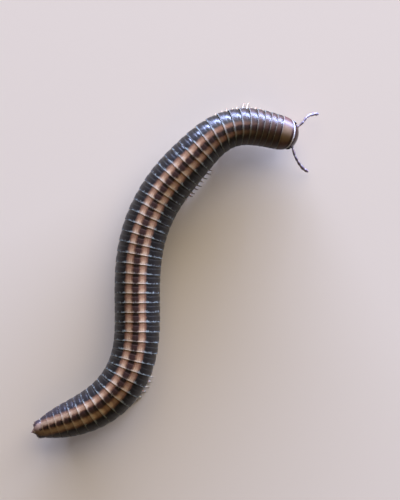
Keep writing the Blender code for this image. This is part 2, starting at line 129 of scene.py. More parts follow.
def line_points():
    """Places along the body line and the plan coordinates there."""
    places = np.arange(0.0, BODY_LENGTH + 2 * LINE_STEP, LINE_STEP)
    headings = np.radians([TAIL_HEADING + steps(s + LINE_STEP / 2, BENDS) for s in places])
    x = TAIL_TIP[0] + LINE_STEP * np.concatenate(([0.0], np.cumsum(np.cos(headings))[:-1]))
    y = TAIL_TIP[1] + LINE_STEP * np.concatenate(([0.0], np.cumsum(np.sin(headings))[:-1]))
    return places, x, y


LINE = line_points()


def axis_height(place):
    return TAIL_HEIGHT + steps(place, RISES)


def body_radius(place):
    """The body tapers to the tail, narrows behind the head and again at the collar plate."""
    taper = (1 - exp(-place / TAIL_TAPER)) ** TAIL_BLUNTNESS
    return BODY_RADIUS * taper - steps(place, (WAIST, NECK))


def size_at(place):
    """The size of a ring's rim and legs at a place, against those of the full-grown middle rings."""
    return min(1.0, body_radius(place) / FULL_SIZE_RADIUS)


def line_point(place):
    x = np.interp(place, LINE[0], LINE[1])
    y = np.interp(place, LINE[0], LINE[2])
    return Vector((x, y, axis_height(place)))


def frame_at(place, level=False):
    """The body line at a place: the centre, and unit vectors forward, left and up."""
    heading = radians(TAIL_HEADING + steps(place, BENDS))
    rise = (axis_height(place + LINE_STEP) - axis_height(place - LINE_STEP)) / (2 * LINE_STEP)
    slope = 0.0 if level else atan(rise)
    flat = Vector((cos(heading), sin(heading), 0.0))
    left = Vector((-sin(heading), cos(heading), 0.0))
    forward = flat * cos(slope) + Vector((0.0, 0.0, sin(slope)))
    return line_point(place), forward, left, forward.cross(left)


def outwards(turn, left, up):
    """The way from the body line to its surface at a turn from the top. The belly is a little flat."""
    height = cos(turn) * (1.0 if cos(turn) > 0 else BELLY_FLATNESS)
    return left * sin(turn) + up * height


def rim_places():
    """The place of each ring's rear rim, by ring number. The collar plate is ring 1."""
    pitches = {}
    for ring in range(2, RING_COUNT + 1):
        front = FRONT_CROWDING + (1 - FRONT_CROWDING) * gone(ring, FRONT_CROWDED_RINGS)
        tail = 1 - (1 - TAIL_CROWDING) * gone(ring, TAIL_CROWDED_RINGS)
        pitches[ring] = front * tail
    scale = (COLLAR_RIM - LAST_RIM) / sum(pitches.values())
    rims = {1: COLLAR_RIM}
    for ring in range(2, RING_COUNT + 1):
        rims[ring] = rims[ring - 1] - pitches[ring] * scale
    return rims


RIMS = rim_places()


def ring_frame(ring):
    """A stiff ring's own directions: the middle of its rear rim, then forward, left and up."""
    rear, front = line_point(RIMS[ring]), line_point(RIMS[ring - 1])
    forward = (front - rear).normalized()
    left = Vector((0.0, 0.0, 1.0)).cross(forward).normalized()
    return rear, forward, left, forward.cross(left)


def srgb(code):
    """A colour written as sRGB hex, as the linear values that a socket takes."""
    channels = [int(code[i : i + 2], 16) / 255 for i in (0, 2, 4)]
    return [c / 12.92 if c <= 0.04045 else ((c + 0.055) / 1.055) ** 2.4 for c in channels] + [1.0]


def add(tree, kind, inputs=(), out=0, stops=(), **settings):
    """Adds a node with its settings, its inputs by order or name, and a ramp's stops. Gives one output.

    A shader node's kind is given without ShaderNode. A word after the kind is the node's operation, or
    the interpolation or data type of a node that has no operation.
    """
    kind, *mode = kind.split()
    node = tree.nodes.new(kind if "Node" in kind else "ShaderNode" + kind)
    for name in ("operation", "interpolation_type", "data_type") if mode else ():
        if hasattr(node, name):
            setattr(node, name, mode[0])
            break
    for name, value in settings.items():
        setattr(node, name, value)
    sockets = [socket for socket in node.inputs if socket.enabled]
    for key, value in inputs.items() if isinstance(inputs, dict) else enumerate(inputs):
        socket = next(s for s in sockets if s.name == key) if isinstance(key, str) else sockets[key]
        if isinstance(value, bpy.types.NodeSocket):
            tree.links.new(value, socket)
        elif value is not None:
            socket.default_value = value
    while stops and len(node.color_ramp.elements) < len(stops):
        node.color_ramp.elements.new(0.5)
    for element, (position, code) in zip(node.color_ramp.elements if stops else (), stops):
        element.position = position
        element.color = srgb(code)
    outputs = [socket for socket in node.outputs if socket.enabled]
    if isinstance(out, str):
        return next(socket for socket in outputs if socket.name == out)
    return outputs[out] if outputs else node


def new_tree(name, **sockets):
    """An empty tree of geometry nodes with named inputs, and those inputs inside it."""
    tree = bpy.data.node_groups.new(name, "GeometryNodeTree")
    tree.is_modifier = True
    tree.interface.new_socket("Geometry", in_out="OUTPUT", socket_type="NodeSocketGeometry")
    tree.interface.new_socket("Geometry", in_out="INPUT", socket_type="NodeSocketGeometry")
    for key, kind in sockets.items():
        label = key.replace("_", " ")
        tree.interface.new_socket(label, in_out="INPUT", socket_type=f"NodeSocket{kind}")
    return tree, tree.nodes.new("NodeGroupInput").outputs


def ended(tree, shape, cuticle):
    """Ends a tree: makes its instances real, sets its material and gives its result out."""
    plain = add(tree, "GeometryNodeRealizeInstances", [shape])
    painted = add(tree, "GeometryNodeSetMaterial", {"Geometry": plain, "Material": cuticle})
    add(tree, "NodeGroupOutput", [painted])
    return tree


def placed(name, data):
    """A new object in the scene for a mesh, a lamp or a camera."""
    thing = bpy.data.objects.new(name, data)
    bpy.context.scene.collection.objects.link(thing)
    return thing


def grown(tree, name, base, keep, **values):
    """Runs a node tree on a mesh with its named inputs, and gives the plain mesh that comes out."""
    source = placed(name, base)
    modifier = source.modifiers.new(name, "NODES")
    modifier.node_group = tree
    for item in tree.interface.items_tree:
        key = item.name.replace(" ", "_")
        if item.in_out == "INPUT" and key in values:
            modifier[item.identifier] = values[key]
    graph = bpy.context.evaluated_depsgraph_get()
    mesh = bpy.data.meshes.new_from_object(
        source.evaluated_get(graph), preserve_all_data_layers=True, depsgraph=graph
    )
    source.modifiers.clear()
    bpy.data.objects.remove(source)
    mesh.name = name
    for attribute in [a.name for a in mesh.attributes if not a.is_internal and not a.is_required]:
        if attribute not in keep and attribute not in ("sharp_face", "material_index", "OFBake"):
            mesh.attributes.remove(mesh.attributes[attribute])
    return mesh


def carrier(name, points, edges=(), faces=(), **values):
    """A mesh whose points carry named numbers or vectors, for a node tree or a material to read."""
    mesh = bpy.data.meshes.new(name)
    mesh.from_pydata([tuple(point) for point in points], edges, faces)
    for key, each in values.items():
        numbers = np.array([tuple(v) if hasattr(v, "__len__") else v for v in each], float)
        vector = numbers.ndim == 2
        layer = mesh.attributes.new(key, "FLOAT_VECTOR" if vector else "FLOAT", "POINT")
        layer.data.foreach_set("vector" if vector else "value", numbers.ravel())
    return mesh


def finished(name, mesh, material, slot, *nodes):
    """Puts a finished mesh in the scene, riding on the body and standing for its solids."""
    piece = placed(name, mesh)
    mesh.name = name
    mesh.materials.clear()
    mesh.materials.append(material)
    mesh.shade_smooth()
    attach(piece, "root")
    if nodes:
        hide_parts(*nodes)
    return piece


def new_cuticle(name, **even):
    """A cuticle's material with its even values set, with its tree and its shader."""
    material = bpy.data.materials.new(name)
    material.use_nodes = True
    shader = material.node_tree.nodes["Principled BSDF"]
    for key, value in even.items():
        shader.inputs[key.replace("_", " ")].default_value = value
    return material, material.node_tree, shader


def surface(tree, shader, base, grain, shade, rough, relief, height=None):
    """Mottles a colour by its grain, lets the roughness vary with it and raises a fine relief.

    Shade and rough each say how much the grain changes them and what they are without it, and relief
    says how strong and how deep it is.
    """
    tint = add(tree, "Math MULTIPLY_ADD", [grain, *shade])
    colour = add(tree, "VectorMath SCALE", [base, tint])
    tree.links.new(colour, shader.inputs["Base Color"])
    spread = add(tree, "Math MULTIPLY_ADD", [grain, *rough])
    tree.links.new(spread, shader.inputs["Roughness"])
    strength, distance = relief
    bump = add(
        tree, "Bump", {"Strength": strength, "Distance": distance, "Height": height or grain}, out="Normal"
    )
    tree.links.new(bump, shader.inputs["Normal"])


def unrolled_ring():
    """One ring, unrolled: its turn round the body, how far forward and how deep each point lies."""
    columns = STRIAE * POINTS_PER_STRIA + 1
    rows = len(RING_PROFILE)
    points, faces, places, share, fluting = [], [], [], [], []
    for portion, ahead, depth, flutes in RING_PROFILE:
        for i in range(columns):
            points.append((i / (columns - 1), ahead, depth))
            share.append(portion)
            fluting.append(flutes)
    for j in range(rows):
        for i in range(columns - 1):
            a, b = j * columns + i, (j + 1) % rows * columns + i
            faces.append((a, b, b + 1, a + 1))
            for right, below in ((0, 0), (0, 1), (1, 1), (1, 0)):
                places += [(i + right) / (columns - 1), (j + below) / rows]
    mesh = carrier("unrolled ring", points, (), faces, share=share, fluting=fluting)
    mesh.uv_layers.new(name="OFBake").uv.foreach_set("vector", places)
    return mesh


def bending_tree():
    """Bends an unrolled piece round the body on every ring, and notes where each point lies on its ring."""
    sizes = dict.fromkeys(("Flutes", "Flute_Depth", "Belly_Flatness", "Seam", "Rings"), "Float")
    tree, given = new_tree("bend_round_the_body", Piece="Object", Cuticle="Material", **sizes)
    piece = add(tree, "GeometryNodeObjectInfo", [given["Piece"]], out="Geometry")
    copies = add(tree, "GeometryNodeInstanceOnPoints", {"Points": given["Geometry"], "Instance": piece})
    sheet = add(tree, "GeometryNodeRealizeInstances", [copies])
    (centre, forward, left, up, baked), numbers = (
        [add(tree, "GeometryNodeInputNamedAttribute", [name], data_type=kind) for name in names]
        for kind, names in (
            ("FLOAT_VECTOR", ("centre", "forward", "left", "up", "OFBake")),
            ("FLOAT", ("share", "fluting", "rear", "front", "pitch", "size", "roll", "slot", "crowding")),
        )
    )
    share, fluting, rear, front, pitch, size, roll, slot, crowding = numbers
    position = add(tree, "GeometryNodeInputPosition")
    flat = add(tree, "VectorMath SUBTRACT", [position, centre])
    turn, ahead, depth = add(tree, "SeparateXYZ", [flat]).node.outputs
    offset = add(tree, "Math SUBTRACT", [turn, 0.5])
    angle = add(tree, "Math MULTIPLY", [offset, 2 * pi])
    sine = add(tree, "Math SINE", [angle])
    cosine = add(tree, "Math COSINE", [angle])
    below = add(tree, "Math MINIMUM", [cosine, 0.0])
    lift = add(tree, "Math SUBTRACT", [1.0, given["Belly Flatness"]])
    lifted = add(tree, "Math MULTIPLY", [below, lift])
    height = add(tree, "Math SUBTRACT", [cosine, lifted])

    half_turn = add(tree, "Math MULTIPLY", [share, pi])
    bulge = add(tree, "Math SINE", [half_turn])
    shifted = add(tree, "Math MULTIPLY_ADD", [bulge, crowding, share])
    further = add(tree, "Math MULTIPLY", [ahead, size])
    along = add(tree, "Math MULTIPLY_ADD", [shifted, pitch, further])
    portion = add(tree, "Math DIVIDE", [along, pitch])
    nearness = add(tree, "Math DIVIDE", [further, pitch])
    marked = add(tree, "Math ADD", [share, nearness])
    change = add(tree, "Math SUBTRACT", [front, rear])
    skin_radius = add(tree, "Math MULTIPLY_ADD", [change, portion, rear])
    phase = add(tree, "Math MULTIPLY", [angle, given["Flutes"]])
    wave = add(tree, "Math COSINE", [phase])
    half_wave = add(tree, "Math MULTIPLY_ADD", [wave, 0.5, 0.5])
    groove = add(tree, "Math POWER", [half_wave, STRIA_SHARPNESS])
    deep = add(tree, "Math MULTIPLY", [groove, given["Flute Depth"]])
    worn = add(tree, "Math MULTIPLY", [deep, fluting])
    flank = add(tree, "Math MULTIPLY_ADD", [cosine, *STRIA_ON_FLANK])
    flute = add(tree, "Math MULTIPLY", [worn, flank])
    sunk = add(tree, "Math MULTIPLY_ADD", [depth, size, flute])
    radius = add(tree, "Math SUBTRACT", [skin_radius, sunk])

    out = add(tree, "Math MULTIPLY", [radius, sine])
    over = add(tree, "Math MULTIPLY", [radius, height])
    place = centre
    for direction, far in ((forward, along), (left, out), (up, over)):
        reach = add(tree, "VectorMath SCALE", [direction, far])
        place = add(tree, "VectorMath ADD", [place, reach])

    rolled = add(tree, "Math SUBTRACT", [angle, roll])
    aside = add(tree, "Math SINE", [rolled])
    lateral = add(tree, "Math MULTIPLY", [aside, skin_radius])
    upward = add(tree, "Math COSINE", [rolled])
    skin = add(tree, "CombineXYZ", [lateral, along, marked])
    u, v, _ = add(tree, "SeparateXYZ", [baked]).node.outputs
    stacked = add(tree, "Math MULTIPLY_ADD", [v, STRIP_FILL, slot])
    row = add(tree, "Math DIVIDE", [stacked, given["Rings"]])
    flat_place = add(tree, "CombineXYZ", [u, row, 0.0])

    ridge = add(tree, "Math SUBTRACT", [1.0, half_wave])
    for name, value, kind, domain in (
        ("skin", skin, "FLOAT_VECTOR", "POINT"), ("upward", upward, "FLOAT", "POINT"),
        ("ridge", ridge, "FLOAT", "POINT"), ("OFBake", flat_place, "FLOAT2", "CORNER"),
    ):
        sheet = add(
            tree, "GeometryNodeStoreNamedAttribute", {"Geometry": sheet, "Name": name, "Value": value},
            data_type=kind, domain=domain,
        )
    bent = add(tree, "GeometryNodeSetPosition", {"Geometry": sheet, "Position": place})
    closed = add(tree, "GeometryNodeMergeByDistance", {"Geometry": bent, "Distance": given["Seam"]})
    return ended(tree, closed, given["Cuticle"])


# Half widths of the dark line and of the pale bands, from the middle of the back, along the body
DARK_LINE = (0.11 * MM, (0.0, 5.5 * MM, 0.15 * MM), (25.0 * MM, 33.0 * MM, -0.08 * MM))
BAND_EDGE = (0.58 * MM, (0.0, 6.0 * MM, 0.18 * MM), (25.0 * MM, 34.0 * MM, -0.36 * MM))
BAND_FADE = (26.8 * MM, 33.4 * MM)
BARE_FRONT = (30.0 * MM, 33.6 * MM)
FRONT_OVERLAP = 0.17
PALE_TAIL = (6.5 * MM, 1.0 * MM)


def ring_points(rings):
    """The rings as points that carry their directions, sizes and markings."""
    draw = random.Random(100 + rings[0])
    rows = []
    for number, ring in enumerate(rings):
        rear, front = RIMS[ring], RIMS[ring - 1]
        centre, forward, left, up = ring_frame(ring)
        middle = 0.5 * (rear + front)
        inner = DARK_LINE[0] + steps(middle, DARK_LINE[1:])
        outer = BAND_EDGE[0] + steps(middle, BAND_EDGE[1:])
        fade = 1 - gone(middle, BAND_FADE)
        bare, pale = gone(middle, BARE_FRONT), gone(middle, PALE_TAIL)
        row = dict(centre=centre, forward=forward, left=left, up=up)
        row.update(rear=body_radius(rear), front=body_radius(front), pitch=front - rear)
        row.update(size=size_at(rear), roll=radians(steps(middle, ROLLS)), slot=number)
        row.update(crowding=FRONT_OVERLAP * bare, marks=(inner, outer, fade))
        rows.append({**row, "tones": (bare, pale, draw.random())})
    values = {key: [row[key] for row in rows] for key in rows[0]}
    return carrier("ring points", values["centre"], **values)


# Colours along a ring from its rear rim forward: on the flanks, in the dark line, in the pale bands and on
# the bare rings behind the head. Each darkens a little at the ring's front end, which goes under the rim of
# the ring in front: painted shade
FLANK_COLOURS = (
    (0.0, "6a7068"), (0.05, "545851"), (0.09, "2c2a25"), (0.13, "1c1713"), (0.4, "16120e"),
    (0.62, "14100b"), (0.67, "25231d"), (0.73, "15110c"), (1.0, "120e09"),
)
LINE_COLOURS = (
    (0.0, "6a645a"), (0.06, "554d45"), (0.11, "42312a"), (0.16, "38261f"), (0.45, "33211c"),
    (0.62, "291812"), (0.67, "382920"), (0.73, "20130e"), (1.0, "1a110c"),
)
BAND_COLOURS = (
    (0.0, "a5937a"), (0.08, "b09a7f"), (0.2, "ab8f71"), (0.4, "997858"), (0.52, "87684b"), (0.62, "76573d"),
    (0.67, "684a33"), (0.75, "76573e"), (1.0, "70523a"),
)
FRONT_COLOURS = (
    (0.0, "686352"), (0.05, "575142"), (0.1, "35241a"), (0.35, "362318"), (0.55, "2d1c14"),
    (0.74, "261610"), (1.0, "1c110c"),
)


def ring_cuticle():
    """Waxed, limy cuticle, hard and satin: two pale bands, a dark line between them and dark flanks."""
    material, tree, shader = new_cuticle(
        "ring_cuticle_waxed", IOR=1.5, Specular_IOR_Level=0.22, Coat_Weight=0.04, Coat_Roughness=0.2
    )
    numbers = []
    for note in ("skin", "marks", "tones"):
        vector = add(tree, "Attribute", out="Vector", attribute_name=note)
        numbers += add(tree, "SeparateXYZ", [vector]).node.outputs
    lateral, _, share, inner, outer, fade, bare, pale, chance = numbers
    upward, ridge = (
        add(tree, "Attribute", out="Fac", attribute_name=note) for note in ("upward", "ridge")
    )
    place = add(tree, "TexCoord", out="Object")

    # Blotches 0.22 mm across make the edges of the bands waver; grains 0.06 mm across mottle the colours
    blotch = add(tree, "TexNoise", [place, 1 / (0.22 * MM), 3.0])
    grain = add(tree, "TexNoise", [place, 1 / (0.06 * MM), 4.0])
    width = add(tree, "Math ABSOLUTE", [lateral])
    waver = add(tree, "Math MULTIPLY_ADD", [blotch, 0.18 * MM, width])
    edge = add(tree, "Math SUBTRACT", [waver, 0.09 * MM])
    top = add(tree, "MapRange SMOOTHSTEP", [upward, 0.2, 0.4])
    # The dark line narrows towards each rim, most of all near the tail
    pinch = add(tree, "MapRange SMOOTHSTEP", [share, 0.0, 0.32, 0.11 * MM, 0.0])
    pinching = add(tree, "Math MULTIPLY_ADD", [pale, 1.1, 1.0])
    pinch = add(tree, "Math MULTIPLY", [pinch, pinching])
    inner = add(tree, "Math SUBTRACT", [inner, pinch])
    masks = []
    for limit, start, end in ((inner, -0.08 * MM, 0.15 * MM), (outer, -0.18 * MM, 0.12 * MM)):
        past = add(tree, "Math SUBTRACT", [edge, limit])
        limits = {"Value": past, "From Min": start, "From Max": end}
        masks.append(add(tree, "MapRange SMOOTHSTEP", limits))
    beside = add(tree, "Math SUBTRACT", [1.0, masks[1]])
    band = add(tree, "Math MULTIPLY", [masks[0], beside])
    faded = add(tree, "Math MULTIPLY", [top, fade])
    band = add(tree, "Math MULTIPLY", [band, faded])
    line = add(tree, "Math SUBTRACT", [1.0, masks[0]])
    line = add(tree, "Math MULTIPLY", [line, faded])

    # Colours along a ring, from its pale rear rim over the fluted part and the suture to the smooth part.
    # The pale colour of the rim runs a little way forward on some of the ridges between the flutes: painted
    # glints of light on the ridges.
    stretch = add(tree, "Math MULTIPLY_ADD", [grain, 0.10, share])
    ragged = add(tree, "MapRange", [blotch, 0.47, 0.62])
    ridge_glints = add(tree, "Math MULTIPLY", [ridge, ragged])
    near_rim = add(tree, "MapRange", [share, 0.25, 0.50, 1.0, 0.0])
    glint_reach = add(tree, "Math MULTIPLY", [near_rim, fade])
    ridge_glints = add(tree, "Math MULTIPLY", [ridge_glints, glint_reach])
    share_with_glints = add(tree, "Math MULTIPLY_ADD", [ridge_glints, -0.23, stretch])
    across = add(tree, "Math SUBTRACT", [share_with_glints, 0.03])
    across = add(tree, "Math MULTIPLY_ADD", [bare, -0.03, across])
    rimless = add(tree, "Math MULTIPLY_ADD", [pale, 0.10, across])
    # Just outside a band, past its outer limit, the pale rim is broader: a painted highlight where the band
    # meets the flank
    sheen_wedge = add(tree, "MapRange SMOOTHSTEP", [past, 0.0, 0.34 * MM, 0.15, 0.0])
    rimless = add(tree, "Math SUBTRACT", [rimless, sheen_wedge])
    flank = add(tree, "ValToRGB", [rimless], stops=FLANK_COLOURS)
    purple = add(tree, "Math MULTIPLY", [pale, 0.6])
    flank = add(tree, "Mix RGBA", [purple, flank, srgb("261e20")])
    dark = add(tree, "ValToRGB", [across], stops=LINE_COLOURS)
    tan = add(tree, "ValToRGB", [across], stops=BAND_COLOURS)
    front = add(tree, "ValToRGB", [across], stops=FRONT_COLOURS)
    brown = add(tree, "Math MULTIPLY", [bare, top])
    base = add(tree, "Mix RGBA", [brown, flank, front])
    base = add(tree, "Mix RGBA", [line, base, dark])
    light_tan = add(tree, "Mix RGBA", [pale, tan, srgb("82694f")])
    base = add(tree, "Mix RGBA", [band, base, light_tan])

    # A rust-brown line runs where a band meets the dark
    outside = add(tree, "Math SUBTRACT", [1.0, band])
    seam = add(tree, "Math MULTIPLY", [band, outside])
    rust = add(tree, "Math MULTIPLY", [seam, 1.5])
    base = add(tree, "Mix RGBA", [rust, base, srgb("5c331f")])
    # Each ring's tone differs at random, and the grooves between the flutes are darker than their ridges:
    # painted shade
    ring_shade = add(tree, "Math MULTIPLY_ADD", [chance, 0.14, 0.38])
    shade = add(tree, "Math MULTIPLY_ADD", [ridge, 0.16, ring_shade])

    # The fluted part is satin and the smooth part, wiped by the rim over it, is glossier
    polish = add(tree, "MapRange", [share, 0.64, 0.72, 0.30, 0.25])

    # The pale rim is bare of wax and matt
    matt = add(tree, "MapRange", [share, 0.08, 0.18, 0.30, 0.0])
    polish = add(tree, "Math ADD", [polish, matt])

    # Scales of the cuticle are 0.01 mm wide; they are drawn 0.03 mm wide so that they show
    scales = add(tree, "TexVoronoi", [place, 1 / (0.03 * MM)])
    surface(tree, shader, base, grain, (0.95, shade), (0.10, polish), (0.22, 0.004 * MM), scales)
    return material


RING_CUTICLE = ring_cuticle()
BENDING = bending_tree()
LENGTHS = [
    list(range(first, min(first + RINGS_PER_LENGTH, RING_COUNT + 1)))
    for first in range(2, RING_COUNT + 1, RINGS_PER_LENGTH)
]


def bent_on_rings(name, template, rings, keep, material):
    """The template bent round the body on each of the rings, as one plain mesh."""
    pattern = placed("pattern", template)
    mesh = grown(
        BENDING, name, ring_points(rings), keep, Piece=pattern, Cuticle=material, Flutes=float(STRIAE),
        Flute_Depth=STRIA_DEPTH, Belly_Flatness=BELLY_FLATNESS, Seam=SEAM, Rings=float(len(rings)),
    )
    bpy.data.objects.remove(pattern)
    return mesh


RING_SHEET = unrolled_ring()
RING_NOTES = ("skin", "marks", "tones", "upward", "ridge")
for length in LENGTHS:
    node = f"rings_{length[0]:02d}_{length[-1]:02d}"
    shell = bent_on_rings(f"shell_{node}", RING_SHEET, length, RING_NOTES, RING_CUTICLE)
    finished(f"shell_{node}", shell, RING_CUTICLE, "ring_cuticle", node)


# Gland pores: from the sixth ring on, each side of a ring has one pore just behind the suture, a dark
# pit with a low raised edge. They open the glands that keep enemies off.
PORE_RINGS = range(6, 49)
PORE_TURN = 76.0
PORE_PLACE = 0.58
PORE_SIDES = 10
# Half of a pore's section, from its bottom out over the edge to the pit: the radius and the depth
PORE_SECTION = (
    (0.0, 0.030 * MM), (0.046 * MM, 0.030 * MM), (0.042 * MM, 0.000 * MM), (0.034 * MM, -0.006 * MM),
    (0.022 * MM, 0.000 * MM), (0.016 * MM, 0.016 * MM), (0.0, 0.020 * MM),
)


def lofted(name, loops, **values):
    """A closed mesh through loops of like points. A loop of one point closes an end as a pole."""
    points, faces, starts = [], [], []
    for loop in loops:
        starts.append(len(points))
        points += loop
    for k in range(len(loops) - 1):
        here, there = len(loops[k]), len(loops[k + 1])
        for i in range(max(here, there)):
            corners = (
                starts[k] + i % here, starts[k] + (i + 1) % here, starts[k + 1] + (i + 1) % there,
                starts[k + 1] + i % there,
            )
            faces.append(list(dict.fromkeys(corners)))
    for k in (0, len(loops) - 1):
        if len(loops[k]) > 1:
            faces.append([starts[k] + i for i in range(len(loops[k]))])
    mesh = carrier(name, points, (), faces, **values)
    turned_out(mesh)
    return mesh


def turned_out(mesh):
    """Turns a closed mesh's faces outwards."""
    bm = bmesh.new()
    bm.from_mesh(mesh)
    bmesh.ops.recalc_face_normals(bm, faces=bm.faces)
    bm.to_mesh(mesh)
    bm.free()


def unrolled_pores():
    """Both pores of a ring, unrolled, each closed below."""
    points, faces = [], []
    for side in (-1, 1):
        middle = 0.5 + side * PORE_TURN / 360
        loops = []
        for radius, depth in PORE_SECTION:
            loop = []
            for i in range(PORE_SIDES if radius else 1):
                a = side * 2 * pi * i / PORE_SIDES
                turn = middle + radius * sin(a) / (2 * pi * BODY_RADIUS)
                loop.append((turn, radius * cos(a), depth))
            loops.append(loop)
        part = lofted("pore", loops)
        start = len(points)
        points += [vertex.co.copy() for vertex in part.vertices]
        faces += [[start + i for i in face.vertices] for face in part.polygons]
        bpy.data.meshes.remove(part)
    share = [PORE_PLACE] * len(points)
    return carrier("unrolled pores", points, (), faces, share=share, fluting=[0.0] * len(points))


def mottled_cuticle(name, colours, grain_size, detail, shade, rough, relief, note="", **even):
    """Cuticle mottled in grains. Its colour goes by the grain, or by a number that the mesh notes."""
    material, tree, shader = new_cuticle(name, **even)
    noted = add(tree, "Attribute", out="Fac", attribute_name=note) if note else None
    place = add(tree, "TexCoord", out="Object")
    grain = add(tree, "TexNoise", [place, 1 / grain_size, detail])
    colour = add(tree, "ValToRGB", [noted or grain], stops=colours)
    surface(tree, shader, colour, grain, shade, rough, relief)
    return material


def plain_cuticle(name, code, dark, grain_size, rough, depth):
    """Cuticle of one colour, mottled by a darker one in grains, with a fine relief."""
    return mottled_cuticle(
        name, ((0.32, dark), (0.68, code)), grain_size, 4.0, (0.2, 0.9), (0.16, rough - 0.08),
        (0.3, depth), IOR=1.55,
    )


# Horny lining: near black and satin
PORE_CUTICLE = plain_cuticle("pore_lining_horny", "1c1510", "0c0806", 0.04 * MM, 0.35, 0.003 * MM)
pores = bent_on_rings("gland_pores", unrolled_pores(), PORE_RINGS, (), PORE_CUTICLE)
turned_out(pores)
finished("gland_pores", pores, PORE_CUTICLE, "ring_cuticle")


# Hairs on the rims: a sparse fringe of short stiff bristles stands on the rear rim of every ring. They
# are clear horny threads, rooted in the rim and pointing backwards.
RIM_HAIRS = 48
RIM_HAIR_ROOT = 0.012 * MM
HAIR_RADIUS = 0.0050 * MM
HAIR_TIP_RADIUS = 0.0008 * MM
RIM_HAIR_LENGTH = 0.11 * MM
RIM_HAIR_VARIETY = (0.6, 1.1)
RIM_HAIR_STRAY = 0.3
RIM_HAIR_LIFT = 0.30
HAIR_SIDES = 3


def strand_tree():
    """Gives every chain of points a round skin, as thick at each point as the point says."""
    tree, given = new_tree("skin_on_threads", Cuticle="Material", Sides="Int")
    threads = add(tree, "GeometryNodeMeshToCurve", [given["Geometry"]])
    ring = add(
        tree, "GeometryNodeCurvePrimitiveCircle", {"Resolution": given["Sides"], "Radius": 1.0},
        mode="RADIUS",
    )
    thickness = add(tree, "GeometryNodeInputNamedAttribute FLOAT", ["thickness"])
    skin = add(
        tree, "GeometryNodeCurveToMesh",
        {"Curve": threads, "Profile Curve": ring, "Scale": thickness, "Fill Caps": True},
    )
    return ended(tree, skin, given["Cuticle"])


STRANDS = strand_tree()


def strands(name, chains, sides, material, slot, *nodes, **kept):
    """Skins chains of points, each point with its thickness and its named values, as one piece."""
    points, edges, thickness = [], [], []
    values = {key: [] for key in kept}
    for chain in chains:
        start = len(points)
        for point, width, *rest in chain:
            points.append(point)
            thickness.append(width)
            for key, value in zip(kept, rest):
                values[key].append(value)
        edges += [(start + i, start + i + 1) for i in range(len(chain) - 1)]
    threads = carrier(name, points, edges, (), thickness=thickness, **values)
    mesh = grown(STRANDS, name, threads, tuple(kept), Cuticle=material, Sides=sides)
    return finished(name, mesh, material, slot, *nodes)


def hair(root, direction, length):
    """A stiff hair, thick at its root and pointed."""
    return [(root, HAIR_RADIUS), (root + direction * length, HAIR_TIP_RADIUS)]


# Clear horn: straw brown and satin
HAIR_HORN = plain_cuticle("hair_horn_clear", "8d7449", "6b5433", 0.05 * MM, 0.35, 0.001 * MM)
draw = random.Random(31)
rim_hairs = []
for ring in range(2, RING_COUNT + 1):
    centre, forward, left, up = ring_frame(ring)
    radius = body_radius(RIMS[ring]) - RIM_HAIR_ROOT
    for i in range(RIM_HAIRS):
        angle = 2 * pi * (i + draw.uniform(-RIM_HAIR_STRAY, RIM_HAIR_STRAY)) / RIM_HAIRS
        outward = outwards(angle, left, up)
        root = centre + forward * RIM_HAIR_ROOT + outward * radius
        direction = (outward * RIM_HAIR_LIFT - forward).normalized()
        rim_hairs.append(hair(root, direction, RIM_HAIR_LENGTH * draw.uniform(*RIM_HAIR_VARIETY)))
strands("rim_hairs", rim_hairs, HAIR_SIDES, HAIR_HORN, "ring_cuticle")


# Legs: one pair on each of the first three trunk rings and two pairs on each ring behind them, down to
# the last but two. Each leg is a chain of seven horny joints that ends in a claw, hinged in the belly.
LEG_RINGS = range(2, 48)
DOUBLE_LEGS_FROM = 5
ONE_PAIR = (0.38,)
TWO_PAIRS = (0.20, 0.62)
LEG_ROOT_ACROSS = 0.27 * MM
LEG_ROOT_DEPTH = 0.10 * MM
LEG_REACH = 0.93
LEG_LEAN = 0.22 * MM
LEG_SWING = 0.14 * MM
LEG_SWING_RINGS = 9
LEG_VARIATION = 0.035 * MM
LONG_LEGS_RIGHT = ((8.3 * MM, 1.6 * MM, 0.36 * MM), (25.4 * MM, 2.2 * MM, 0.36 * MM))
LONG_LEGS_LEFT = ((31.5 * MM, 0.6 * MM, 0.62 * MM), (31.4 * MM, 2.9 * MM, 0.31 * MM))
LONG_LEG_FADE = 1.5
LONG_LEG_LEAN = 0.5
# The bends of a leg between its root and its claw: the share of the way out, the share of the belly's
# height and how far above that, and the share of the lean
LEG_BENDS = ((0.40, 0.80, 0.0, 0.2), (0.76, 0.56, 0.10 * MM, 0.6), (0.95, 0.0, 0.16 * MM, 0.92))
CLAW_AHEAD = 0.05 * MM
LEG_SIDES = 8
# Each joint of a leg from its root: how far along the leg it ends, and its greatest radius
LEG_JOINTS = (
    (0.10, 0.098 * MM), (0.29, 0.104 * MM), (0.46, 0.094 * MM), (0.59, 0.078 * MM), (0.73, 0.064 * MM),
    (0.93, 0.048 * MM), (1.00, 0.023 * MM),
)
JOINT_FORM = ((0.03, 0.76), (0.20, 0.94), (0.78, 1.0), (0.97, 0.84))
CLAW_TIP_RADIUS = 0.006 * MM
TARSUS, TARSUS_END = 5, 0.70


def further_reach(place, stretches):
    """How much further out a leg reaches, full in the middle of a stretch and nothing at its ends."""
    return max(
        most * smooth(LONG_LEG_FADE * (1 - abs(place - middle) / half)) for middle, half, most in stretches
    )


def curve_through(points, share):
    """A point on a smooth curve through the points, at a share of the way through them."""
    spots = [points[0]] + list(points) + [points[-1]]
    way = share * (len(points) - 1)
    k = min(int(way), len(points) - 2)
    t = way - k
    a, b, c, d = spots[k : k + 4]
    bend = (2 * a - 5 * b + 4 * c - d) * t**2 + (3 * b - a - 3 * c + d) * t**3
    return (2 * b + (c - a) * t + bend) / 2


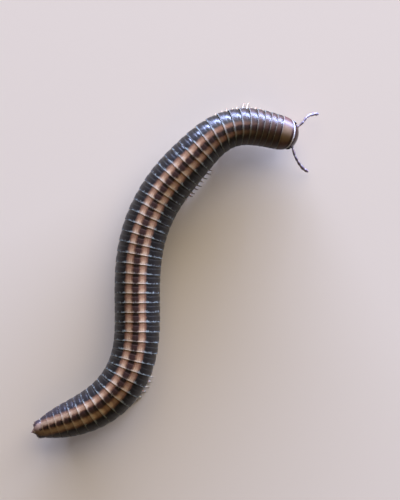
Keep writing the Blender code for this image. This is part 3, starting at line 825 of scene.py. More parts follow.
def leg_knots(place, turn, side, wobble):
    """The points that a leg passes through, from its root in the belly to its claw on the floor."""
    centre, forward, left, _ = frame_at(place, level=True)
    radius = body_radius(place)
    size = radius / BODY_RADIUS
    belly = centre.z - BELLY_FLATNESS * radius
    stretches = LONG_LEGS_LEFT if side > 0 else LONG_LEGS_RIGHT
    further = further_reach(place, stretches)
    reach = LEG_REACH * radius + further + wobble
    swing = LEG_SWING * sin(2 * pi * turn / LEG_SWING_RINGS + side)
    lean = LEG_LEAN + swing + LONG_LEG_LEAN * further + wobble
    across = LEG_ROOT_ACROSS * size
    spread = reach - across
    below = Vector((centre.x, centre.y, 0.0))
    knots = [(across, belly + LEG_ROOT_DEPTH, 0.0)]
    knots += [(across + out * spread, high * belly + up, on * lean) for out, high, up, on in LEG_BENDS]
    knots.append((reach, CLAW_TIP_RADIUS, lean + CLAW_AHEAD))
    return [
        below + left * (side * out) + forward * ahead + Vector((0.0, 0.0, height))
        for out, height, ahead in knots
    ]


def leg_chain(knots, size):
    """A leg's stations, each with its thickness and its share along the leg."""
    chain, start = [], 0.0
    for number, (end, radius) in enumerate(LEG_JOINTS):
        near, far = curve_through(knots, start), curve_through(knots, end)
        for share, form in JOINT_FORM:
            taper = 1 - (1 - TARSUS_END) * share if number == TARSUS else 1.0
            width = radius * form * taper * size
            if number > TARSUS:
                width = radius * (1 - share) * size + CLAW_TIP_RADIUS * share
            point = near.lerp(far, share)
            point.z = max(point.z, width)
            chain.append((point, width, start + share * (end - start)))
        start = end
    return chain


# Colours of a leg from its root to its claw
LEG_COLOURS = (
    (0.0, "33291f"), (0.12, "4b3e31"), (0.40, "6c5e49"), (0.70, "82745c"), (0.90, "74644a"),
    (0.97, "553a24"),
)
# Thin horny cuticle: pale and a little clear, darker at the root and browned at the claw
LEG_CUTICLE = mottled_cuticle(
    "leg_horn_pale", LEG_COLOURS, 0.07 * MM, 3.0, (0.5, 0.75), (0.2, 0.26), (0.2, 0.003 * MM), "along",
    IOR=1.5, Subsurface_Weight=0.25, Subsurface_Scale=0.12 * MM,
)
LEG_HAIR_PLACES = (0.20, 0.38, 0.53, 0.67, 0.80, 0.88)
LEG_HAIR_LENGTH = 0.19 * MM
LEG_HAIR_STEP = 0.05
LOWEST_HAIR = 0.02 * MM
draw = random.Random(7)
leg_hairs = []
for length in LENGTHS:
    legs = []
    for ring in sorted(set(length) & set(LEG_RINGS)):
        pitch = RIMS[ring - 1] - RIMS[ring]
        for number, share in enumerate(TWO_PAIRS if ring >= DOUBLE_LEGS_FROM else ONE_PAIR):
            place = RIMS[ring] + share * pitch
            size = size_at(place)
            for side in (1, -1):
                wobble = draw.uniform(-LEG_VARIATION, LEG_VARIATION)
                knots = leg_knots(place, ring - 0.5 * number, side, wobble)
                legs.append(leg_chain(knots, size))
                for spot in LEG_HAIR_PLACES:
                    root = curve_through(knots, spot)
                    ahead = (curve_through(knots, spot + LEG_HAIR_STEP) - root).normalized()
                    aside = Vector([draw.uniform(-1, 1) for _ in range(3)])
                    direction = (ahead + aside.cross(ahead).normalized()).normalized()
                    tip = root + direction * LEG_HAIR_LENGTH * size
                    if tip.z > LOWEST_HAIR:
                        leg_hairs.append(hair(root, direction, LEG_HAIR_LENGTH * size))
    if legs:
        name = f"legs_{length[0]:02d}_{length[-1]:02d}"
        strands(name, legs, LEG_SIDES, LEG_CUTICLE, "ring_cuticle", along=True)
strands("leg_hairs", leg_hairs, HAIR_SIDES, HAIR_HORN, "ring_cuticle")


# Tail piece: the last ring, whose back is drawn out into a short horny spur. Two valves with raised lips
# close it behind, with a small scale under them. Waxed cuticle, beige on the back, rust brown at its
# rear edge and dark beside, with a few stiff hairs.
TAIL_FRONT = 1.30 * MM
TAIL_SHOULDER = 0.98 * MM
TAIL_RADIUS = 0.745 * MM
TAIL_ROUNDING = 1.50 * MM
TAIL_MARGIN = 0.35 * MM
TAIL_EDGE = (0.24 * MM, 0.11 * MM)
TAIL_NECK = 0.06 * MM
SPUR_LENGTH = 0.32 * MM
SPUR_HALF_ANGLE = 0.66
SPUR_SHARPNESS = 1.45
TAIL_WALL = 0.05 * MM
SPUR_WALL = 0.06 * MM
TAIL_SIDES = 96
TAIL_CROWDING_ON_TOP = 0.72
TAIL_OUTER_STATIONS = 18
TAIL_STATION_SPREAD = 0.8
TAIL_INNER_STATIONS = 6
TAIL_INNER_END = 0.80 * MM
VALVES_CENTRE = (0.62 * MM, 0.0, -0.06 * MM)
VALVES_HALF_SIZES = (0.30 * MM, 0.49 * MM, 0.43 * MM)
VALVE_GAP = 0.022
VALVE_LIP = (0.085, 0.055, 0.10)
SCALE_CENTRE = (0.62 * MM, 0.0, -0.50 * MM)
SCALE_HALF_SIZES = (0.25 * MM, 0.24 * MM, 0.10 * MM)
TAIL_HAIRS = 44
TAIL_HAIR_ROOTS = (0.72, 0.95)
TAIL_HAIR_CENTRE = 0.6 * MM
TAIL_HAIR_LIFT = 0.8
TAIL_HAIR_LENGTH = 0.17 * MM
TAIL_HAIR_VARIETY = (0.7, 1.2)
BOTH_SIDES = (("left", 1), ("right", -1))


def ball(origin, axes, half_sizes, sides=32, levels=20, shape=None):
    """Loops of a ball stretched in its own directions, whose points a shape may move."""
    loops = []
    for j in range(levels + 1):
        tilt = pi * j / levels
        count = sides if 0 < j < levels else 1
        loop = []
        for i in range(count):
            turn = 2 * pi * i / sides
            wide = sin(tilt)
            local = Vector((cos(tilt), wide * cos(turn), wide * sin(turn)))
            local = shape(local) if shape else local
            point = origin.copy()
            for axis, half, share in zip(axes, half_sizes, local):
                point += axis * (half * share)
            loop.append(point)
        loops.append(loop)
    return loops


def joined(name, meshes):
    """Several closed meshes as one."""
    bm = bmesh.new()
    for mesh in meshes:
        bm.from_mesh(mesh)
        bpy.data.meshes.remove(mesh)
    whole = bpy.data.meshes.new(name)
    bm.to_mesh(whole)
    bm.free()
    return whole


# Colours from the tip of the spur forward over the back, and on the flanks
TAIL_BACK_COLOURS = (
    (0.0, "94827b"), (0.1, "87756d"), (0.2, "634d40"), (0.34, "564033"), (0.5, "634d3e"), (0.78, "6d5744"),
    (1.0, "6d5744"),
)
TAIL_FLANK_COLOURS = ((0.0, "85706a"), (0.14, "6b4f48"), (0.24, "35211e"), (0.5, "291c1d"), (1.0, "1e181b"))


def tail_cuticle():
    """Waxed cuticle, satin: a beige back with the end of the dark line, dark flanks, a rust-brown edge."""
    material, tree, shader = new_cuticle(
        "tail_cuticle_waxed", IOR=1.5, Specular_IOR_Level=0.2, Coat_Weight=0.04, Coat_Roughness=0.2
    )
    tail = add(tree, "Attribute", out="Vector", attribute_name="tail")
    behind, aside, above = add(tree, "SeparateXYZ", [tail]).node.outputs
    place = add(tree, "TexCoord", out="Object")
    grain = add(tree, "TexNoise", [place, 1 / (0.09 * MM), 4.0])
    spread = add(tree, "Math MULTIPLY_ADD", [grain, 0.16 * MM, behind])
    share = add(tree, "MapRange", [spread, 0.08 * MM, 1.08 * MM])
    back = add(tree, "ValToRGB", [share], stops=TAIL_BACK_COLOURS)
    flank = add(tree, "ValToRGB", [share], stops=TAIL_FLANK_COLOURS)
    drift = add(tree, "Math MULTIPLY_ADD", [grain, 0.22 * MM, above])
    on_back = add(tree, "MapRange SMOOTHSTEP", [drift, 0.56 * MM, 0.74 * MM])
    base = add(tree, "Mix RGBA", [on_back, flank, back])
    width = add(tree, "Math ABSOLUTE", [aside])
    waver = add(tree, "Math MULTIPLY_ADD", [grain, 0.10 * MM, width])
    ending = add(tree, "MapRange SMOOTHSTEP", [behind, 0.58 * MM, 0.80 * MM, 0.22 * MM, 0.0])
    narrow = add(tree, "Math ADD", [waver, ending])
    off_line = add(tree, "MapRange", [narrow, 0.11 * MM, 0.18 * MM, 1.0, 0.0])
    on_line = add(tree, "Math MULTIPLY", [off_line, on_back])
    base = add(tree, "Mix RGBA", [on_line, base, srgb("33211b")])
    surface(tree, shader, base, grain, (0.5, 0.75), (0.12, 0.27), (0.25, 0.004 * MM))
    return material


def note_places(mesh, name, origin, *axes):
    """Notes on every point, under a name, how far it lies along three axes from an origin."""
    layer = mesh.attributes.new(name, "FLOAT_VECTOR", "POINT")
    flat = [(vertex.co - origin).dot(axis) for vertex in mesh.vertices for axis in axes]
    layer.data.foreach_set("vector", flat)


def tail_loop(way, inside):
    """Points round the tail piece, at a share of the way from its front to its rear edge or back inside."""
    loop = []
    for i in range(TAIL_SIDES):
        a = 2 * pi * i / TAIL_SIDES
        turn = a - TAIL_CROWDING_ON_TOP * sin(a)
        turn = (turn + pi) % (2 * pi) - pi
        point = max(0.0, 1 - abs(turn) / SPUR_HALF_ANGLE) ** SPUR_SHARPNESS
        margin = TAIL_MARGIN - SPUR_LENGTH * point
        start = TAIL_INNER_END if inside else TAIL_FRONT
        place = start + (margin - start) * way
        radius = TAIL_RADIUS * (1 - (max(0.0, TAIL_SHOULDER - place) / TAIL_ROUNDING) ** 2)
        radius -= TAIL_NECK * smooth((place - TAIL_SHOULDER) / (TAIL_FRONT - TAIL_SHOULDER))
        near_edge = max(0.0, 1 - (place - margin) / TAIL_EDGE[0])
        radius -= TAIL_EDGE[1] * near_edge**2 * (1 - point)
        if inside:
            radius -= TAIL_WALL + SPUR_WALL * point
        centre, _, left, up = frame_at(place)
        loop.append(centre + outwards(turn, left, up) * radius)
    return loop


TAIL_CUTICLE = tail_cuticle()
outside = [j / (TAIL_OUTER_STATIONS - 1) for j in range(TAIL_OUTER_STATIONS)]
inside = [1 - j / (TAIL_INNER_STATIONS - 1) for j in range(TAIL_INNER_STATIONS)]
loops = [tail_loop(way**TAIL_STATION_SPREAD, False) for way in outside]
tail = lofted("preanal_ring", loops + [tail_loop(way, True) for way in inside])
note_places(tail, "tail", *frame_at(0.0))
finished("preanal_ring", tail, TAIL_CUTICLE, "tail_cuticle", "telson")


def tail_ball(name, place, half_sizes, shape=None):
    """A rounded piece of the tail, at its place forward of the tip, aside and above the line."""
    centre, forward, left, up = frame_at(place[0])
    origin = centre + left * place[1] + up * place[2]
    mesh = lofted(name, ball(origin, (forward, left, up), half_sizes, 48, 24, shape))
    note_places(mesh, "tail", *frame_at(0.0))
    return mesh


for word, side in BOTH_SIDES:

    def valve_form(local):
        """Half of a dome, flat along the middle, with a lip raised beside the flat."""
        out = max(side * local.y, VALVE_GAP)
        lip = VALVE_LIP[2] * exp(-(((out - VALVE_LIP[0]) / VALVE_LIP[1]) ** 2))
        return Vector((local.x * (1 + lip), side * out, local.z))

    valve = tail_ball(f"valve_{word}", VALVES_CENTRE, VALVES_HALF_SIZES, valve_form)
    finished(f"valve_{word}", valve, TAIL_CUTICLE, "tail_cuticle", f"anal_valve_{word}")
scale = tail_ball("tail_scale", SCALE_CENTRE, SCALE_HALF_SIZES)
finished("tail_scale", scale, TAIL_CUTICLE, "tail_cuticle")

draw = random.Random(5)
tail_hairs = []
centre, forward, _, _ = frame_at(TAIL_HAIR_CENTRE)
for _ in range(TAIL_HAIRS):
    root = draw.choice(tail_loop(draw.uniform(*TAIL_HAIR_ROOTS), False))
    away = root - centre
    outward = (away - forward * away.dot(forward)).normalized()
    direction = (outward * TAIL_HAIR_LIFT - forward).normalized()
    tail_hairs.append(hair(root, direction, TAIL_HAIR_LENGTH * draw.uniform(*TAIL_HAIR_VARIETY)))
strands("tail_hairs", tail_hairs, HAIR_SIDES, HAIR_HORN, "tail_cuticle")


# Collar plate: the first ring, a saddle that covers the back of the head and narrows to a rounded lobe
# on either side. Glossy cuticle, olive tan on top and red brown beside, with a white front margin.
COLLAR_FRONT = 35.62 * MM
COLLAR_SIDE_SETBACK = 0.55 * MM
COLLAR_WALL = 0.13 * MM
COLLAR_HALF_ANGLE = 112.0
COLLAR_LOBE = 16.0
COLLAR_SIDES = 96
COLLAR_STATIONS = 16
COLLAR_FRONT_DROP = 0.14 * MM
COLLAR_EDGE_SQUARENESS = 14
COLLAR_BEAD = (0.10 * MM, 0.006 * MM)
COLLAR_BEAD_FROM = 0.9
COLLAR_BACK_ROOM = 0.02 * MM
# The last columns stop just short of the lobes' points, so that they stay loops
COLLAR_LAST_COLUMN = 0.9995


def collar_front(turn):
    return COLLAR_FRONT - COLLAR_SIDE_SETBACK * 2 * sin(turn / 2) ** 2


def collar_mesh():
    """The saddle with its wall, noting how far each point lies from the front and rear margins."""
    half_angle = radians(COLLAR_HALF_ANGLE)
    lobe = radians(COLLAR_LOBE)
    columns, margins = [], []
    for i in range(COLLAR_SIDES + 1):
        turn = half_angle * (2 * i / COLLAR_SIDES - 1) * COLLAR_LAST_COLUMN
        front, back = collar_front(turn), COLLAR_RIM + COLLAR_BACK_ROOM
        past = max(0.0, (abs(turn) - half_angle + lobe) / lobe)
        narrow = sqrt(max(0.0, 1 - past**2))
        middle, half = 0.5 * (front + back), 0.5 * (front - back) * narrow
        outer, inner, notes = [], [], []
        for j in range(COLLAR_STATIONS):
            spread = -cos(pi * j / (COLLAR_STATIONS - 1))
            place = middle + half * spread
            share = (place - back) / (front - back)
            centre, _, left, up = frame_at(place)
            rounding = COLLAR_WALL / 2 * (1 - sqrt(max(0.0, 1 - abs(spread) ** COLLAR_EDGE_SQUARENESS)))
            edge = max(0.0, 1 - (front - place) / COLLAR_BEAD[0])
            swell = COLLAR_BEAD[1] * sin(pi * min(1.0, edge)) if narrow > COLLAR_BEAD_FROM else 0.0
            radius = body_radius(place) - COLLAR_FRONT_DROP * share**2 + swell
            outward = outwards(turn, left, up)
            outer.append(centre + outward * (radius - rounding))
            inner.append(centre + outward * (radius - COLLAR_WALL + rounding))
            notes.append((front - place, place - back, turn))
        columns.append(outer + inner[::-1])
        margins += notes + notes[::-1]
    return lofted("collum", columns, margins=margins)


# Colours of the plate from its middle out to its sides, and from its front edge backwards
COLLAR_COLOURS = ((0.0, "604d37"), (0.16, "57422e"), (0.34, "452b1f"), (0.70, "361d15"), (1.0, "26120d"))
COLLAR_EDGE_COLOURS = (
    (0.0, "857e75"), (0.04, "a19a8f"), (0.16, "8b8175"), (0.21, "220d08"), (0.5, "2c130d"),
    (0.85, "402619"),
)


def collar_cuticle():
    """Hard cuticle, waxed and glossy: olive tan on the back, red brown beside, whitish at its margins."""
    material, tree, shader = new_cuticle(
        "collar_cuticle_glossy", IOR=1.5, Specular_IOR_Level=0.24, Coat_Weight=0.06, Coat_Roughness=0.35
    )
    margins = add(tree, "Attribute", out="Vector", attribute_name="margins")
    front, back, turn = add(tree, "SeparateXYZ", [margins]).node.outputs
    place = add(tree, "TexCoord", out="Object")
    cloud = add(tree, "TexNoise", [place, 1 / (0.5 * MM), 4.0])
    grain = add(tree, "TexNoise", [place, 1 / (0.05 * MM), 4.0])
    aside = add(tree, "Math ADD", [turn, 0.05])
    wide = add(tree, "Math ABSOLUTE", [aside])
    drift = add(tree, "Math MULTIPLY_ADD", [cloud, 0.8, wide])
    round_share = add(tree, "MapRange", [drift, 0.4, 2.2])
    round_colour = add(tree, "ValToRGB", [round_share], stops=COLLAR_COLOURS)
    edge_share = add(tree, "MapRange", [front, 0.0, 0.6 * MM])
    front_shade = add(tree, "ValToRGB", [edge_share], stops=COLLAR_EDGE_COLOURS)
    near_front = add(tree, "MapRange SMOOTHSTEP", [front, 0.20 * MM, 0.40 * MM, 1.0, 0.0])
    base = add(tree, "Mix RGBA", [near_front, round_colour, front_shade])
    near_back = add(tree, "MapRange SMOOTHSTEP", [back, 0.025 * MM, 0.055 * MM, 0.8, 0.0])
    base = add(tree, "Mix RGBA", [near_back, base, srgb("7a7262")])
    surface(tree, shader, base, grain, (0.4, 0.9), (0.18, 0.33), (0.15, 0.003 * MM))
    return material


finished("collar_plate", collar_mesh(), collar_cuticle(), "collar_cuticle", "collum")


# Head capsule: one smooth rounded shell of dark red-brown cuticle, half hidden under the collar plate.
# The feelers stand in pits with a raised edge on its face, and its lower front edge is the lip.
HEAD_PLACE = 35.16 * MM
HEAD_DROP = 0.16 * MM
HEAD_HALF_HEIGHT = 1.05 * MM
HEAD_CROWN_HEIGHT = 1.24 * MM
HEAD_FRONT = 0.84 * MM
HEAD_BACK = 0.66 * MM
HEAD_HALF_WIDTH = 1.12 * MM
HEAD_ROUNDNESS = 2.05
FACE_SLOPE = 0.40
CHEEK_SLOPE = 0.50
NAPE_SLOPE = 0.35
SLOPE_BEND = 1.6
# The flat floor of the head over the mouth: its level in the middle, then its loops and their levels
HEAD_FLOOR = 1.02
HEAD_FLOOR_LOOPS = ((0.5, -1.02), (0.8, -1.015), (0.95, -1.008))
HEAD_SIDES = 120
HEAD_LEVELS = 64
SOCKET_TURN = 44.0
SOCKET_LEVEL = 0.05
SOCKET_PIT = (0.135 * MM, 0.11 * MM)
SOCKET_STEEPNESS = 4
SOCKET_RIM = (0.185 * MM, 0.05 * MM, 0.022 * MM)
CROWN_GROOVE = (0.020 * MM, 0.014 * MM)
LIP_FOLD = (-0.56, 0.05, 0.014 * MM)
# How far on the directions along the head's surface are taken: the turn in degrees, and the level
NUDGE = (2, 0.03)


def head_axes():
    centre, forward, left, up = frame_at(HEAD_PLACE)
    return centre - up * HEAD_DROP, forward, left, up


def head_outline(level):
    """Reach forward, backward and sideways at a level from -1, the mouth, to 1, the crown."""
    if level > 0:
        dome = max(0.0, 1 - level**HEAD_ROUNDNESS) ** (1 / HEAD_ROUNDNESS)
        return HEAD_FRONT * dome, HEAD_BACK * dome, HEAD_HALF_WIDTH * dome
    front = HEAD_FRONT * (1 - FACE_SLOPE * (-level) ** SLOPE_BEND)
    back = HEAD_BACK * (1 - NAPE_SLOPE * (-level))
    width = HEAD_HALF_WIDTH * (1 - CHEEK_SLOPE * (-level) ** SLOPE_BEND)
    return front, back, width


def head_point(turn, level, shrink=1.0):
    """A point of the head's surface, by its turn from the front towards the left and its level."""
    centre, forward, left, up = head_axes()
    front, back, width = head_outline(max(level, -1.0))
    ahead = cos(turn) * (front if cos(turn) > 0 else back) * shrink
    aside = sin(turn) * width * shrink
    above = level * (HEAD_CROWN_HEIGHT if level > 0 else HEAD_HALF_HEIGHT)
    return centre + forward * ahead + left * aside + up * above


def surface_frame(turn, level):
    """A point of the head's surface, with the direction outwards and two directions along it."""
    sideways, rise = radians(NUDGE[0]), NUDGE[1]
    point = head_point(turn, level)
    around = (head_point(turn + sideways, level) - head_point(turn - sideways, level)).normalized()
    upward = (head_point(turn, level + rise) - head_point(turn, level - rise)).normalized()
    outward = around.cross(upward).normalized()
    return point, outward, around, outward.cross(around)


def head_mesh():
    """The capsule with its pits, the groove down its crown and the fold above its lip."""
    centre, forward, left, up = head_axes()
    sockets = [head_point(side * radians(SOCKET_TURN), SOCKET_LEVEL) for side in (1, -1)]
    turns = [2 * pi * i / HEAD_SIDES for i in range(HEAD_SIDES)]
    loops = [[centre - up * (HEAD_HALF_HEIGHT * HEAD_FLOOR)]]
    for shrink, level in HEAD_FLOOR_LOOPS:
        loops.append([head_point(turn, level, shrink) for turn in turns])
    for j in range(HEAD_LEVELS):
        level = -cos(pi * (j + 0.5) / HEAD_LEVELS)
        loop = []
        for turn in turns:
            point = head_point(turn, level)
            outward = (point - centre).normalized()
            move = 0.0
            for socket in sockets:
                far = (point - socket).length
                move -= SOCKET_PIT[1] * exp(-((far / SOCKET_PIT[0]) ** SOCKET_STEEPNESS))
                move += SOCKET_RIM[2] * exp(-(((far - SOCKET_RIM[0]) / SOCKET_RIM[1]) ** 2))
            lateral = (point - centre).dot(left)
            if level > 0:
                move -= CROWN_GROOVE[1] * exp(-((lateral / CROWN_GROOVE[0]) ** 2))
            fold = exp(-(((level - LIP_FOLD[0]) / LIP_FOLD[1]) ** 2))
            move -= LIP_FOLD[2] * fold * max(0.0, cos(turn))
            loop.append(point + outward * move)
        loops.append(loop)
    loops.append([centre + up * HEAD_CROWN_HEIGHT])
    mesh = lofted("head", loops)
    note_places(mesh, "face", centre, forward, left, up)
    return mesh


# Colours of the head from its mouth up to its crown
HEAD_COLOURS = (
    (0.0, "8d6540"), (0.12, "784c2f"), (0.30, "583321"), (0.46, "3d1e13"), (0.58, "200d08"),
    (0.70, "1a0a06"), (0.82, "200b06"), (1.0, "261009"),
)


def head_cuticle():
    """Hard cuticle, polished: near black between the eyes, red brown on the face, amber at the lip."""
    material, tree, shader = new_cuticle(
        "head_cuticle_polished", IOR=1.5, Specular_IOR_Level=0.3, Coat_Weight=0.06, Coat_Roughness=0.15
    )
    face = add(tree, "Attribute", out="Vector", attribute_name="face")
    above = add(tree, "SeparateXYZ", [face], out="Z")
    place = add(tree, "TexCoord", out="Object")
    cloud = add(tree, "TexNoise", [place, 1 / (0.28 * MM), 5.0])
    grain = add(tree, "TexNoise", [place, 1 / (0.05 * MM), 4.0])
    drift = add(tree, "Math MULTIPLY_ADD", [cloud, 0.5 * MM, above])
    level = add(tree, "MapRange", [drift, -0.80 * MM, 1.30 * MM])
    colour = add(tree, "ValToRGB", [level], stops=HEAD_COLOURS)
    surface(tree, shader, colour, grain, (0.6, 0.7), (0.14, 0.18), (0.25, 0.004 * MM))
    return material


HEAD_CUTICLE = head_cuticle()
finished("head_capsule", head_mesh(), HEAD_CUTICLE, "head_cuticle", "head")


# Upper lip: the thin front edge of the head over the mouth, notched in the middle with three blunt
# teeth, with a row of short hairs above it. Amber horn.
LIP_HALF_TURN = 38.0
LIP_COLUMNS = 40
LIP_LEVELS = (-0.86, -0.97, -1.06)
LIP_THICKNESS = 0.035 * MM
# How far the lip swells outwards at each of its levels, and its height at its ends and what the rest adds
LIP_SWELL = (0.3, 0.6, 0.3)
LIP_HEIGHT = (0.35, 0.65)
LIP_NOTCH = (9.0, 0.045 * MM)
TOOTH_TURNS = (-3.6, 0.0, 3.6)
TOOTH_RADIUS = 0.020 * MM
TOOTH_LENGTH = 1.7
TOOTH_SUNK = 0.004 * MM
# Rows of hairs on the face: their level and their number
LIP_HAIR_ROWS = ((-0.80, 16), (-0.62, 8), (-0.35, 4))
LIP_HAIR_HALF_TURN = 32
LIP_HAIR_LENGTH = 0.20 * MM
LIP_HAIR_VARIETY = (0.7, 1.1)
LIP_HAIR_DROOP = 1.1
# How deep the hairs are rooted, in millimetres
LIP_HAIR_ROOT = 0.01
# Amber horn: paler than the face, and satin
LIP_HORN = plain_cuticle("lip_horn_amber", "a87a48", "7c5230", 0.06 * MM, 0.28, 0.002 * MM)


def lip_mesh():
    """The lip as a thin closed strip along the lower edge of the face, with its notch and its teeth."""
    _, forward, left, up = head_axes()
    columns = []
    for i in range(LIP_COLUMNS + 1):
        degrees = LIP_HALF_TURN * (2 * i / LIP_COLUMNS - 1)
        turn = radians(degrees)
        notch = LIP_NOTCH[1] * exp(-((degrees / LIP_NOTCH[0]) ** 2))
        fade = 1 - (abs(degrees) / LIP_HALF_TURN) ** 4
        outer, inner = [], []
        for number, level in enumerate(LIP_LEVELS):
            level = LIP_LEVELS[0] + (level - LIP_LEVELS[0]) * (LIP_HEIGHT[0] + LIP_HEIGHT[1] * fade)
            point = head_point(turn, level)
            if number == len(LIP_LEVELS) - 1:
                point += up * notch
            outward = (forward * cos(turn) + left * sin(turn)).normalized()
            outer.append(point + outward * LIP_SWELL[number] * LIP_THICKNESS)
            inner.append(point - outward * LIP_THICKNESS)
        columns.append(outer + inner[::-1])
    parts = [lofted("lip", columns)]
    for degrees in TOOTH_TURNS:
        turn = radians(degrees)
        root = head_point(turn, LIP_LEVELS[-1]) + up * (LIP_NOTCH[1] + TOOTH_SUNK)
        sizes = (TOOTH_RADIUS, TOOTH_RADIUS, TOOTH_LENGTH * TOOTH_RADIUS)
        parts.append(lofted("tooth", ball(root, (forward, left, up), sizes, 10, 6)))
    return joined("upper_lip", parts)


finished("upper_lip", lip_mesh(), LIP_HORN, "head_cuticle")
draw = random.Random(13)
lip_hairs = []
for level, count in LIP_HAIR_ROWS:
    for i in range(count):
        degrees = LIP_HAIR_HALF_TURN * (2 * (i + 0.5) / count - 1) + draw.uniform(-1, 1)
        point, outward, _, upward = surface_frame(radians(degrees), level)
        direction = (outward - upward * LIP_HAIR_DROOP).normalized()
        root = point - outward * LIP_HAIR_ROOT * MM
        lip_hairs.append(hair(root, direction, LIP_HAIR_LENGTH * draw.uniform(*LIP_HAIR_VARIETY)))
strands("lip_hairs", lip_hairs, HAIR_SIDES, HAIR_HORN, "head_cuticle")


# Eyes: on either side of the crown a patch of about fifty small round lenses, set in rows on a low
# swelling. Black, clear and glossy.
EYE_TURN = 70.0
EYE_LEVEL = 0.25
EYE_HALF_SIZES = (0.25 * MM, 0.17 * MM, 0.16 * MM)
EYE_SUNK = 0.09 * MM
LENS_RADIUS = 0.030 * MM
LENS_SPACING = 0.058 * MM
LENS_ROW = 0.866
LENS_BED = 0.93
LENS_EDGE = 0.12
LENS_SUNK = 0.004 * MM
# Clear lenses over black pigment: near black, each with a small sharp light
EYE_BLACK = plain_cuticle("eye_lens_black", "17100e", "0a0706", 0.05 * MM, 0.14, 0.001 * MM)


def lens_tree():
    """Sets a small round lens on every point."""
    tree, given = new_tree("lenses_in_rows", Cuticle="Material", Radius="Float")
    lens = add(
        tree, "GeometryNodeMeshIcoSphere", {"Radius": given["Radius"], "Subdivisions": 2}, out="Mesh"
    )
    copies = add(tree, "GeometryNodeInstanceOnPoints", {"Points": given["Geometry"], "Instance": lens})
    return ended(tree, copies, given["Cuticle"])


LENSES = lens_tree()
for word, side in BOTH_SIDES:
    point, outward, around, upward = surface_frame(side * radians(EYE_TURN), EYE_LEVEL)
    origin = point - outward * EYE_SUNK
    half_sizes = [LENS_BED * half for half in EYE_HALF_SIZES]
    bed = lofted("bed", ball(origin, (around, upward, outward), half_sizes))
    spots = []
    long, wide, high = EYE_HALF_SIZES
    rows, columns = int(wide / (LENS_SPACING * LENS_ROW)), int(long / LENS_SPACING) + 1
    for row in range(-rows, rows + 1):
        for column in range(-columns, columns + 1):
            x = (column + 0.5 * (row % 2)) * LENS_SPACING
            y = row * LENS_SPACING * LENS_ROW
            inside = 1 - (x / long) ** 2 - (y / wide) ** 2
            if inside > LENS_EDGE:
                height = high * LENS_BED * sqrt(inside) - LENS_SUNK
                spots.append(origin + around * x + upward * y + outward * height)
    places = carrier("lens places", spots)
    lenses = grown(LENSES, "lenses", places, (), Cuticle=EYE_BLACK, Radius=LENS_RADIUS)
    eye = joined(f"ocelli_{word}", [bed, lenses])
    finished(f"ocelli_{word}", eye, EYE_BLACK, "eye_lens", f"eye_{word}")


# Feelers: chains of seven horny joints, the fifth and sixth the thickest, with four sense pegs at the
# blunt tip and short hairs all over. Grey violet, each rooted in its pit on the face.
FEELER_RIGHT = (
    (-0.08 * MM, 1.20 * MM, 1.86 * MM), (0.20 * MM, 1.56 * MM, 1.70 * MM),
    (0.56 * MM, 1.92 * MM, 1.36 * MM), (0.95 * MM, 2.19 * MM, 0.90 * MM), (1.42 * MM, 2.32 * MM, 0.42 * MM),
)
FEELER_LEFT = (
    (0.03 * MM, 1.06 * MM, 1.88 * MM), (0.14 * MM, 1.44 * MM, 1.84 * MM), (0.34 * MM, 1.80 * MM, 1.62 * MM),
    (0.68 * MM, 2.06 * MM, 1.22 * MM), (1.10 * MM, 2.20 * MM, 0.80 * MM),
)
FEELER_ROOT_DEPTH = 0.10 * MM
# Each joint of a feeler from its root: how far along it ends, and its greatest radius
FEELER_JOINTS = (
    (0.09, 0.100 * MM), (0.31, 0.098 * MM), (0.50, 0.104 * MM), (0.65, 0.116 * MM), (0.83, 0.142 * MM),
    (0.94, 0.140 * MM), (0.985, 0.088 * MM),
)
FEELER_FORM = ((0.02, 0.55), (0.12, 0.70), (0.45, 0.88), (0.82, 1.0), (0.95, 0.90), (0.99, 0.62))
FEELER_SIDES = 20
FEELER_HAIRS = 240
FEELER_HAIR_LENGTH = 0.085 * MM
FEELER_HAIR_PLACES = (0.2, 0.95)
FEELER_HAIR_ROOT = 0.85
FEELER_HAIR_LIFT = 0.7
FEELER_TIP = (0.97, 0.05 * MM)
PEGS = 4
PEG_RADIUS = 0.014 * MM
PEG_TAPER = 0.5
# The pegs' length and how far they stand from the middle of the tip, in millimetres
PEG_LENGTH = 0.05
PEG_SPREAD = 0.03
# Colours along each joint of a feeler, from its root
FEELER_COLOURS = ((0.0, "95878a"), (0.18, "6e6064"), (0.6, "5d5056"), (0.92, "504448"), (1.0, "7d6e70"))
